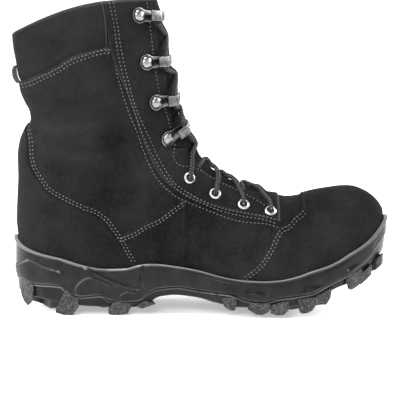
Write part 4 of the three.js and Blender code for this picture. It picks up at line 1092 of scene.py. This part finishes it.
def makeMidsole():
    along = stationsOf(midsole["stations"])
    low, high = seamHeight(along) + boot["fit"], lipHeight(along)
    levels = np.linspace(0, 1, midsole["levels"])
    shape = newShape()
    ring = []
    for side in (-1, 1):
        z = mix(low[:, None], high[:, None], levels[None, :])
        inset = np.interp(levels, [0, 0.8, 1], midsole["insets"])[None, :] + 0 * z
        fromTop = high[:, None] - z
        bead = midsole["bead"] * smooth(*midsole["beadEnd"], fromTop)
        groove = midsole["groove"] * np.exp(-((fromTop - midsole["grooveAt"]) / midsole["grooveWidth"]) ** 2)
        fromLow = z - low[:, None]
        groove = groove + midsole["seam"] * np.clip(1 - fromLow / midsole["seamWidth"], 0, 1) ** 2
        rounding = midsole["rounding"] * np.clip(1 - fromTop, 0, 1) ** 2
        at = np.repeat(along[:, None], len(levels), 1)
        relief = sideRelief(planPoint(at, side, 0, z)[..., 0], z)
        outer = planPoint(at, side, inset - bead + groove + rounding - relief, z)
        lipIn = planPoint(along, side, boot["lip"] + 0.3, high - 0.2)
        cup = planPoint(along, side, boot["lip"] + 1.2, np.minimum(seatHeight(along) + 6, high - 1.5))
        floor = planPoint(along, side, wallInset + 1, seatHeight(along) - 0.6)
        parts = [outer, lipIn[:, None], cup[:, None], floor[:, None]]
        ring.append(np.concatenate(parts, axis=1))
    loop = np.concatenate([ring[0], ring[1][:, ::-1]], axis=1)
    addGrid(shape, loop, 0, wrapColumns=True)
    makePiece("midsole", shape, [soleRubber], ["midsole"], merge=0.02, crease=50)


makeMidsole()
print("midsole made")

outsole = {"stations": 300, "levels": 22, "across": 96, "bevel": 0.8, "insets": (4.6, 2.9, 2.3, 2.0),
           "lineHeight": 1.2, "lineWidth": 0.9, "windowDepth": 1.6, "barHeight": 1.3, "barWidth": 0.8}
# Sunk windows of the arch, each with two bars, and thin raised lines between the lugs: places are
# shares of the sole's length and of its half width there
archWindows = [
    {"along": 0.43, "across": 0.62, "reach": 0.075, "half": 0.3},
    {"along": 0.445, "across": -0.64, "reach": 0.055, "half": 0.24},
]
treadLines = [
    [(0.52, -0.62), (0.535, -0.2), (0.53, 0.3), (0.515, 0.68)],
    [(0.545, -0.7), (0.558, -0.25), (0.553, 0.3), (0.54, 0.7)],
    [(0.6, -0.5), (0.64, -0.36), (0.7, -0.34)],
    [(0.6, 0.42), (0.63, 0.2), (0.62, -0.02)],
    [(0.7, 0.62), (0.74, 0.5), (0.79, 0.52)],
    [(0.78, -0.05), (0.82, -0.1), (0.87, -0.02)],
    [(0.34, -0.5), (0.3, -0.2), (0.3, 0.2), (0.34, 0.55)],
    [(0.15, -0.35), (0.18, 0.0), (0.16, 0.35)],
    [(0.27, -0.55), (0.24, -0.3), (0.2, -0.25)],
]


def treadRelief(along, across):
    x, y = along * boot["length"], across * halfBall
    relief = np.zeros(x.shape)
    for window in archWindows:
        fromX = (along - window["along"]) / window["reach"]
        fromY = (across - window["across"]) / window["half"]
        inside = smooth(1.15, 0.85, (np.abs(fromX) ** 3 + np.abs(fromY) ** 3) ** (1 / 3))
        reach = window["reach"] * boot["length"]
        bars = sum(np.exp(-((fromX - at) * reach / outsole["barWidth"]) ** 2) for at in (-0.33, 0.33))
        relief += inside * (outsole["windowDepth"] - outsole["barHeight"] * bars)
    for path in treadLines:
        line = smoothLine(np.array(path) * [boot["length"], halfBall], 5)
        relief -= outsole["lineHeight"] * np.exp(-(lineDistance(x, y, line) / outsole["lineWidth"]) ** 2)
    return relief


def makeOutsoleBody(shape):
    along = stationsOf(outsole["stations"])
    low, high = baseHeight(along), seamHeight(along)
    levels = np.linspace(0, 1, outsole["levels"])
    ring = []
    for side in (-1, 1):
        z = mix(low[:, None], high[:, None], levels[None, :])
        inset = np.interp(levels, [0, 0.12, 0.5, 1], outsole["insets"])[None, :] + 0 * z
        fromTop = high[:, None] - z
        inset = inset - 1.1 * smooth(2.1, 1.3, fromTop) + 2.0 * np.clip(1 - fromTop / 0.7, 0, 1) ** 2
        at = np.repeat(along[:, None], len(levels), 1)
        relief = sideRelief(planPoint(at, side, 0, z)[..., 0], z)
        ring.append(planPoint(at, side, inset - relief, z))
    c = np.linspace(0, 1, outsole["across"])[1:-1]
    edge0, edge1 = ring[0][:, 0], ring[1][:, 0]
    bottom = mix(edge1[:, None], edge0[:, None], c[None, :, None])
    bottom[..., 2] += treadRelief(along[:, None] + 0 * c[None, :], 1 - 2 * c[None, :] + 0 * along[:, None])
    loop = np.concatenate([ring[0], ring[1][:, ::-1], bottom], axis=1)
    addGrid(shape, loop, 0, wrapColumns=True)


# A sharp block between a lower and an upper outline, to be rounded next
def sharpBlock(low, high):
    bm = bmesh.new()
    bottom = [bm.verts.new(p) for p in low]
    top = [bm.verts.new(p) for p in high]
    bm.faces.new(bottom[::-1])
    bm.faces.new(top)
    for i in range(len(bottom)):
        j = (i + 1) % len(bottom)
        bm.faces.new([bottom[i], bottom[j], top[j], top[i]])
    bmesh.ops.recalc_face_normals(bm, faces=bm.faces)
    return bm


def roundEdges(bm, edges, bevel):
    bmesh.ops.bevel(bm, geom=edges, offset=bevel, segments=2, profile=0.6, affect="EDGES", clamp_overlap=True)


def addBlock(shape, low, high, bevel, mark=1):
    bm = sharpBlock(low, high)
    roundEdges(bm, list(bm.edges), bevel)
    bmesh.ops.triangulate(bm, faces=[f for f in bm.faces if len(f.verts) > 4])
    bm.verts.index_update()
    points = [v.co[:] for v in bm.verts]
    faces = [[v.index for v in f.verts] for f in bm.faces]
    bm.free()
    addFaces(shape, points, faces, mark)


# Blocks along the sole's edge, by the outline that the photograph shows from the side
edgeLugs = [
    {"outline": [(20.9, 275), (18, 287.8), (19.2, 296), (22, 303), (25.9, 307.4), (29.7, 303.8), (31.5, 298),
                 (32, 285.5), (28, 281)], "reach": 0.45},
    {"outline": [(64, 290.5), (56, 306.2), (53.8, 310.2), (53.8, 314.6), (62.4, 317), (71.6, 317.6),
                 (75.2, 311.8), (77.6, 308.6), (77.2, 299.5), (71.2, 297.4)], "reach": 0.5},
    {"outline": [(113.9, 303), (106.7, 309.4), (107.5, 316.6), (116.6, 317.4), (127, 315.8), (130.7, 308.2),
                 (130.2, 305)], "reach": 0.5},
    {"outline": [(144.5, 302.5), (134, 308), (141.4, 310.6), (155.7, 305.6)], "reach": 0.3},
    {"outline": [(222, 300), (224, 308.2), (230.2, 312.6), (235.3, 312.6), (238, 305), (236, 298)],
     "reach": 0.36},
    {"outline": [(250, 304), (247.6, 311), (256.7, 316.5), (263, 317.4), (270, 314), (272, 306)],
     "reach": 0.5},
    {"outline": [(272, 307), (271, 315.5), (278, 317.4), (284.5, 317.2), (289, 313), (291.1, 310),
                 (290, 302)], "reach": 0.4},
    {"outline": [(299, 301), (299.5, 309.7), (301.1, 314.6), (303.5, 315.8), (309.9, 314.9), (313.9, 312.4),
                 (318, 306), (317, 298.5)], "reach": 0.46},
    {"outline": [(317, 298), (316, 307.5), (321, 306.6), (327.8, 306.4), (331.8, 299.4), (334, 289)],
     "reach": 0.4},
    {"outline": [(347, 281), (348.9, 290), (352.9, 291.6), (357.7, 288.6), (364.1, 283.6), (366, 276.5),
                 (362, 269)], "reach": 0.46},
]
# Blocks under the toe: rise is in millimetres, and the rest are shares
frontLugs = [
    {"from": 0.918, "to": 0.95, "reach": 0.5, "skew": -0.012, "rise": 9},
    {"from": 0.964, "to": 0.986, "reach": 0.6, "skew": -0.03, "rise": 9},
]
# Three-armed lugs in the middle: size is a share of half the ball width, and turned is in degrees
claws = [
    {"along": 0.085, "across": 0, "size": 0.3, "turned": 180},
    {"along": 0.225, "across": 0.1, "size": 0.3, "turned": 60},
    {"along": 0.56, "across": 0.12, "size": 0.27, "turned": 0},
    {"along": 0.655, "across": -0.06, "size": 0.36, "turned": 170},
    {"along": 0.72, "across": 0.28, "size": 0.3, "turned": 20},
    {"along": 0.765, "across": -0.24, "size": 0.32, "turned": 130},
    {"along": 0.83, "across": 0.18, "size": 0.34, "turned": 15},
    {"along": 0.9, "across": -0.14, "size": 0.28, "turned": 160},
]


def edgeY(x, side):
    return planPoint(np.clip(x / boot["length"], 0.002, 0.998), side, 0.0, 0)[:, 1]


def addEdgeLug(shape, lug, side):
    outline = pixelPlace(lug["outline"], sole=True)
    x, z = outline[:, 0], outline[:, 1]
    middle = x.mean()
    lean = np.interp(z, [0, 12, 30], [0.6, 0.3, -0.2])
    outer = np.stack([x, edgeY(x, side) + side * lean * 0.8, np.maximum(z, 0.15)], -1)
    innerX = middle + (x - middle) * 0.55 + 2  # narrower inwards and a little further forward
    innerY = mix(edgeY(innerX, side), sway(innerX / boot["length"]), lug["reach"])
    inner = np.stack([innerX, innerY, np.maximum(z, 0.15)], -1)
    addBlock(shape, outer, inner, outsole["bevel"])


def addFrontLug(shape, lug, side):
    mid = (lug["from"] + lug["to"]) / 2
    stations = [lug["from"], mid, lug["to"]]
    outer = np.array([planPoint(s, side, 0.4 if s != mid else -0.6, 0) for s in stations])
    half = (lug["to"] - lug["from"]) * 0.3
    inner = []
    for s in (mid + lug["skew"] + half, mid + lug["skew"] - half):
        p = planPoint(s, side, 1.5, 0)
        p[1] = mix(p[1], sway(s), lug["reach"])
        inner.append(p)
    corners = np.concatenate([outer, inner])
    along = corners[:, 0] / boot["length"]
    low, high = corners.copy(), corners.copy()
    low[:, 2] = lugHeight(along)
    high[:, 2] = lugHeight(along) + lug["rise"]
    addBlock(shape, low, high, outsole["bevel"])


# Corners of one arm of a claw: angle from the arm, and distance from the claw's centre as a share of
# its size
clawArm = [(-0.3, 1), (0.3, 1), (0.62, 0.6), (math.pi / 3, 0.42), (2 * math.pi / 3 - 0.62, 0.6)]


def addClaw(shape, claw):
    side = -1 if claw["across"] < 0 else 1
    centre = planPoint(claw["along"], side, 0, 0)
    centre[1] = mix(sway(claw["along"]), centre[1], abs(claw["across"]))
    tip = claw["size"] * halfBall
    corners = []
    for i in range(3):
        arm = math.radians(claw["turned"] + 120 * i)
        for spread, far in clawArm:
            corners.append([centre[0] + math.cos(arm + spread) * tip * far,
                            centre[1] + math.sin(arm + spread) * tip * far, 0])
    corners = np.array(corners)
    along = corners[:, 0] / boot["length"]
    low, high = corners.copy(), corners.copy()
    low[:, 2] = lugHeight(along) + 0.1
    high[:, 2] = baseHeight(along) + 2.5
    addBlock(shape, low, high, outsole["bevel"] * 1.5, 0)


plate = {"along": 0.435, "thickness": 4, "proud": 1.0, "bevel": 0.5,
         "outline": [(-15, 0), (-9, 7), (9, 7), (15, 0), (9, -7), (-9, -7)]}


# The bare plate in the arch
def addPlate(shape):
    middle = plate["along"] * boot["length"]
    low = []
    for x, y in plate["outline"]:
        base = float(baseHeight((middle + x) / boot["length"]))
        low.append([middle + x, y, base - plate["proud"]])
    low = np.array(low)
    addBlock(shape, low, low + [0, 0, plate["thickness"]], plate["bevel"], 0)


def makeOutsole():
    shape = newShape()
    makeOutsoleBody(shape)
    for addLug, lugs in ((addEdgeLug, edgeLugs), (addFrontLug, frontLugs)):
        for lug in lugs:
            addLug(shape, lug, -1)
            addLug(shape, lug, 1)
    for claw in claws:
        addClaw(shape, claw)
    addPlate(shape)
    makePiece("outsole", shape, [soleRubber, lugRubber], ["outsole"], crease=35)


makeOutsole()
print("outsole made")

# Hardware: places are shares of the sole's length and the boot's height, and a hook's also say by how
# many degrees it lifts and tilts
eyeletSpots = [(0.68, 0.326), (0.61, 0.345), (0.535, 0.379), (0.467, 0.431)]
hookSpots = [(0.408, 0.559, 22, 7), (0.378, 0.675, 4, 2), (0.354, 0.801, 2, 2), (0.334, 0.946, 0, 2)]
eyelet = {"radius": 4.9, "hole": 2.6, "barrel": 3.2, "rise": 1.1}
hook = {"plate": 6.3, "thickness": 1.2, "dome": 4.7, "domeHeight": 2.4, "reach": 17, "tip": 8, "fold": 9.4,
        "back": 50, "waist": 0.2, "bevel": 0.35}
hookRoom = boot["lace"] / 2 + 0.7  # inner radius of the roll that holds the lace


# Turn and place of a piece of hardware on the sewn panel: columns forward, across, out and where
def hardwareFrame(spot, side, out):
    x, z = spot[0] * boot["length"], spot[1] * boot["height"]
    lift, tilt = (spot[2], spot[3]) if len(spot) > 2 else (0, 0)
    a, w = locate(np.array([x]), np.array([z]))
    normal = skinNormal(a, side * w)[0]
    point = skinSpot(a, side * w)[0]
    forward = np.array([1, 0, math.tan(math.radians(lift))])
    forward = unit(forward - normal * forward.dot(normal))
    across = np.cross(normal, forward)
    turned = np.array(Matrix.Rotation(-math.radians(tilt), 3, Vector(across)))
    forward, normal = turned @ forward, turned @ normal
    return {"turn": np.stack([forward, across, normal], -1), "spot": point + normal * out}


def placed(points, where):
    return np.asarray(points) @ where["turn"].T + where["spot"]


def lathe(profile, sides=32):
    angles = np.arange(sides) * 2 * np.pi / sides
    return np.array([[(r * math.cos(g), r * math.sin(g), z) for g in angles] for r, z in profile])


def makeEyelet(name, where):
    r, h, b = eyelet["radius"], eyelet["hole"], eyelet["barrel"]
    depth = -(overlayOut + boot["wall"])
    profile = [(b, depth), (b, -0.1), (r - 0.1, -0.1), (r, 0.15), (r - 0.35, 0.6)]
    for t in (0.25, 0.5, 0.75):
        profile.append((mix(r - 0.35, h + 0.2, t), 0.6 + (eyelet["rise"] - 0.6) * math.sin(t * math.pi)))
    profile += [(h + 0.15, 0.45), (h, 0.0), (h, depth)]
    shape = newShape()
    addGrid(shape, placed(lathe(profile), where), wrapRows=True, wrapColumns=True)
    makePiece(name, shape, [nickel], [name], crease=50)


# A plate or roll as an outline drawn out along an axis. Its rounded rims get the second material, a lighter
# nickel that paints a highlight on them.
def blockOf(shape, outline, low, high, bevel, where, axis=2):
    def spot(p, level):
        return (p[0], p[1], level) if axis == 2 else (p[0], level, p[1])

    bm = sharpBlock([spot(p, low) for p in outline], [spot(p, high) for p in outline])
    rims = [e for e in bm.edges if len({round((v.co[axis] - low) * 100) for v in e.verts}) == 1]
    roundEdges(bm, rims, bevel)
    bm.verts.index_update()
    bm.normal_update()
    points = [v.co[:] for v in bm.verts]
    faces = [[v.index for v in f.verts] for f in bm.faces]
    rims = [int(0.15 < abs(f.normal[axis]) < 0.98) for f in bm.faces]
    bm.free()
    addFaces(shape, placed(points, where), faces)
    shape["marks"][-len(faces):] = rims


def makeHook(name, where):
    shape = newShape()
    back = math.radians(hook["back"])
    r, reach, tip, thick = hook["plate"], hook["reach"], hook["tip"], hook["thickness"]
    angles = np.linspace(back, 2 * math.pi - back, 26)
    outline = [(reach - 1, tip / 2)] + [(r * math.cos(g), r * math.sin(g)) for g in angles]
    outline += [(reach - 1, -tip / 2)]
    waist = [(mix(r * math.cos(back), reach - 1, t), mix(r * math.sin(back), tip / 2, t)
              - hook["waist"] * math.sin(math.pi * t)) for t in (0.66, 0.33)]
    outline = outline[:1] + waist + outline[1:-1] + [(x, -y) for x, y in waist[::-1]] + outline[-1:]
    blockOf(shape, outline, 0, thick, hook["bevel"], where)
    radius, centre, middle = hookRoom, reach - 1, hookRoom + thick
    bend = np.linspace(-math.pi / 2, math.pi / 2, 14)
    outside = [(centre + middle * math.cos(g), middle + middle * math.sin(g)) for g in bend]
    inside = [(centre + radius * math.cos(g), middle + radius * math.sin(g)) for g in bend[::-1]]
    fold = centre - hook["fold"] + 1
    roll = outside + [(fold, 2 * middle), (fold, 2 * middle - thick)] + inside
    roll += [(centre - 1, thick), (centre - 1, 0)]
    blockOf(shape, roll, -tip / 2, tip / 2, hook["bevel"], where, axis=1)
    wide, high = hook["dome"], hook["domeHeight"]
    dome = [(0.05, thick + high)]
    for g in np.linspace(0.15, 1, 9):
        dome.append((wide * math.sin(g * math.pi / 2), thick + high * math.cos(g * math.pi / 2)))
    dome.append((wide + 0.25, thick - 0.1))
    # painted highlight: the dome gets the lighter nickel
    addGrid(shape, placed(lathe(dome), where), 1, wrapColumns=True)
    # painted shade: a flat near-black ring round the dome stands in for the shadow at its foot
    ring = [(wide + 0.2, thick), (wide + 0.2, thick + 0.12), (wide + 0.85, thick + 0.05)]
    addGrid(shape, placed(lathe(ring), where), 2, wrapColumns=True)
    materials = [satinNickel, highlightNickel, shadeNickel]
    makePiece(name, shape, materials, [name], merge=0.04, crease=40)


seatGap = 2 * boot["fit"]  # between a hook's plate and the leather
for sideName, side in (("lateral", -1), ("medial", 1)):
    for i, spot in enumerate(eyeletSpots):
        makeEyelet(f"eyelet_{sideName}_{i + 1}", hardwareFrame(spot, side, overlayOut + 0.1))
    for i, spot in enumerate(hookSpots):
        makeHook(f"hook_{sideName}_{i + 1}", hardwareFrame(spot, side, overlayOut + seatGap))
print("hardware made")

# Laces: two cords that cross between each pair of eyelets and hooks and end in the top hooks
laces = {"radius": boot["lace"] / 2, "sides": 12, "spacing": 0.42, "braid": 0.07, "twist": 1.35,
         "above": 3.2, "beneath": 1.9, "rises": (2.6, 3.3, 3.4)}
# Where each cord runs from its eyelet up to the tongue's crest, by pixels of the photograph
laceRuns = [
    [(269.5, 203), (264.3, 198), (257.4, 190.6), (249.4, 185.4), (241.4, 184.3)],
    [(242, 197), (236.8, 187.7), (231, 179), (225.3, 174.5), (218.4, 174)],
    [(216, 188), (216, 177), (214.4, 168), (210.4, 161.3), (204.6, 158.5)],
    [(190, 171), (190, 162), (190, 153), (191, 146)],
]


def edgeShare(a, side):
    outer, inner = throatEdge(np.array([a]))
    return float((outer if side < 0 else inner)[0])


# Points of a cord before and after the middle of an eyelet or hook
def stopPoints(number, side, first, last):
    if number < len(eyeletSpots):
        where = hardwareFrame(eyeletSpots[number], side, overlayOut)
        below = [(3.0, 0, -6), (0.4, 0, -4.5)] if first else [(3.5, 0, -6.2), (0.6, 0, -5.4)]
        through = [(-0.3, 0, -0.4), (0.4, 0, 1.6)]
        return list(placed(below, where)), list(placed(through, where))
    where = hardwareFrame(hookSpots[number - len(eyeletSpots)], side, overlayOut + seatGap)
    up = -side
    level = hookRoom + hook["thickness"]
    reach = hook["reach"] - 1
    coming = [(reach + 1.4, -6.0 * up, level - 1.2), (reach + 0.2, -3.2 * up, level)]
    going = [(reach + 0.2, 3.2 * up, level), (reach + 1.4, 6.0 * up, level - 1.2)]
    if last:
        going = [(reach, 2.2 * up, level)]
    return list(placed(coming, where)), list(placed(going, where))


def lacePath(firstSide, above):
    spots = eyeletSpots + hookSpots
    count = len(spots)
    places = [locate(np.array([s[0] * boot["length"]]), np.array([s[1] * boot["height"]])) for s in spots]
    path = []
    side = firstSide
    for number in range(count):
        coming, going = stopPoints(number, side, number == 0, number == count - 1)
        path += coming + going
        if number == count - 1:
            break
        a0, a1 = float(places[number][0][0]), float(places[number + 1][0][0])
        over = laces["above"] if (number % 2 == 0) == above else laces["beneath"]
        if number < len(eyeletSpots):
            run = placesOf(pixelPlace(laceRuns[number]))
            for k, (a, w) in enumerate(run[:-1]):
                path.append(skin(a, side * w, (*laces["rises"], over)[k]))
            middle = run[-1, 0]
        else:
            middle = mix(a0, a1, 0.5)
        path.append(skin(middle, 0.0, over))
        if number + 1 < len(eyeletSpots):
            near = mix(middle, a1, 0.5)
            path.append(skin(near, -side * edgeShare(near, -side) * 0.8, -0.4))
        side = -side
    return smoothLine(np.array(path), 14)


def addTube(shape, path):
    path = evenly(path, laces["spacing"])
    tangents = unit(np.gradient(path, axis=0))
    normal = unit(np.cross(tangents[0], [0, 1, 0.3]))
    frames = []
    for tangent in tangents:
        normal = unit(normal - tangent * normal.dot(tangent))
        frames.append((normal, np.cross(tangent, normal)))
    angles = np.arange(laces["sides"]) * 2 * np.pi / laces["sides"]
    rings = []
    for i, (spot, (n, b)) in enumerate(zip(path, frames)):
        s = i * laces["spacing"] * laces["twist"]
        weave = np.sin(3 * angles + s * 1.6) * np.sin(3 * angles - s * 1.6)
        r = laces["radius"] * (1 - laces["braid"] + laces["braid"] * weave)
        if i in (0, len(path) - 1):
            r = r * 0.3
        rings.append(spot + np.outer(np.cos(angles) * r, n) + np.outer(np.sin(angles) * r, b))
    start = addGrid(shape, np.array(rings), wrapColumns=True)
    n = laces["sides"]
    # light flecks painted on the braid as its highlights, slanting one way and then the other round the cord
    flecks = []
    for i in range(len(rings) - 1):
        for j in range(n):
            slant = j if j % 6 < 3 else -j
            flecks.append(int((i + slant) % 6 == 0 and j % 3 < 2))
    shape["marks"][-len(flecks):] = flecks
    last = start + (len(rings) - 1) * n
    shape["faces"].append(list(range(start, start + n))[::-1])
    shape["faces"].append(list(range(last, last + n)))
    shape["marks"] += [0, 0]


def makeLaces():
    shape = newShape()
    addTube(shape, lacePath(-1, True))
    addTube(shape, lacePath(1, False))
    nodes = ["lace_bar"] + [f"lace_cross_{i + 1}" for i in range(7)]
    makePiece("laces", shape, [laceCord, highlightCord], nodes)


makeLaces()
print("laces made")


panelRows = {"vamp": (1.6, 4.0), "vampLow": 33, "quarter": (1.5, 3.7)}


# Stitches of the seams that the upper's own leather has
def makePanelStitches():
    shape = newShape()
    vamp = seams["vamp"][seams["vamp"][:, 1] > panelRows["vampLow"]]
    for row in panelRows["vamp"]:
        addStitches(shape, offsetLine(vamp, row))
    for row in panelRows["quarter"]:
        addStitches(shape, offsetLine(seams["quarter"][1:-6], row))
    makePiece("panel_stitches", shape, [thread], [])


makePanelStitches()

# Plain pale floor and backdrop, and soft light
studio = {"floor": 0.8, "flat": 1500, "curve": 1000, "wall": 700, "glow": 0.4, "ambient": 0.12,
          "sides": 64, "sunk": 0.3}


def makeStudio():
    profile = [(0.5, 0.0), (studio["flat"] / 2, 0.0)]
    for g in np.linspace(0, math.pi / 2, 14):
        profile.append((studio["flat"] + studio["curve"] * math.sin(g), studio["curve"] * (1 - math.cos(g))))
    profile.append((studio["flat"] + studio["curve"], studio["curve"] + studio["wall"]))
    grid = lathe([(r, z - studio["sunk"]) for r, z in profile], studio["sides"])
    mesh = bpy.data.meshes.new("floor")
    faces = gridFaces(len(profile), studio["sides"], wrapColumns=True, flip=True)
    mesh.from_pydata((grid.reshape(-1, 3) * 0.001).tolist(), [], faces.tolist())
    material, _, shader = newMaterial("studio floor", rough=0.9, color=grey(studio["floor"]))
    shader.inputs["Emission Color"].default_value = (1, 1, 1, 1)
    shader.inputs["Emission Strength"].default_value = studio["glow"]
    mesh.materials.append(material)
    for face in mesh.polygons:
        face.use_smooth = True
    floor = bpy.data.objects.new("floor", mesh)
    bpy.context.scene.collection.objects.link(floor)


lights = [
    {"name": "left", "at": (-1100, -350, 700), "size": 800, "power": 17},
    {"name": "rearLeft", "at": (-1200, 450, 450), "size": 600, "power": 11},
    {"name": "right", "at": (1100, 100, 600), "size": 700, "power": 20},
    {"name": "top", "at": (-150, -250, 1300), "size": 500, "power": 30},
    {"name": "front", "at": (-350, -1300, 800), "size": 500, "power": 12},
]


def makeLights():
    for light in lights:
        data = bpy.data.lights.new(light["name"], "AREA")
        data.shape = "DISK"
        data.size = light["size"] * 0.001
        data.energy = light["power"]
        made = bpy.data.objects.new(light["name"], data)
        made.location = Vector(light["at"]) * 0.001
        made.rotation_euler = (Vector((0, 0, 0.1)) - made.location).to_track_quat("-Z", "Y").to_euler()
        bpy.context.scene.collection.objects.link(made)
    world = bpy.data.worlds.new("studio")
    world.use_nodes = True
    world.node_tree.nodes["Background"].inputs["Color"].default_value = (1, 1, 1, 1)
    world.node_tree.nodes["Background"].inputs["Strength"].default_value = studio["ambient"]
    bpy.context.scene.world = world
    bpy.context.scene.view_settings.view_transform = "Standard"


makeStudio()
makeLights()
print("studio made")
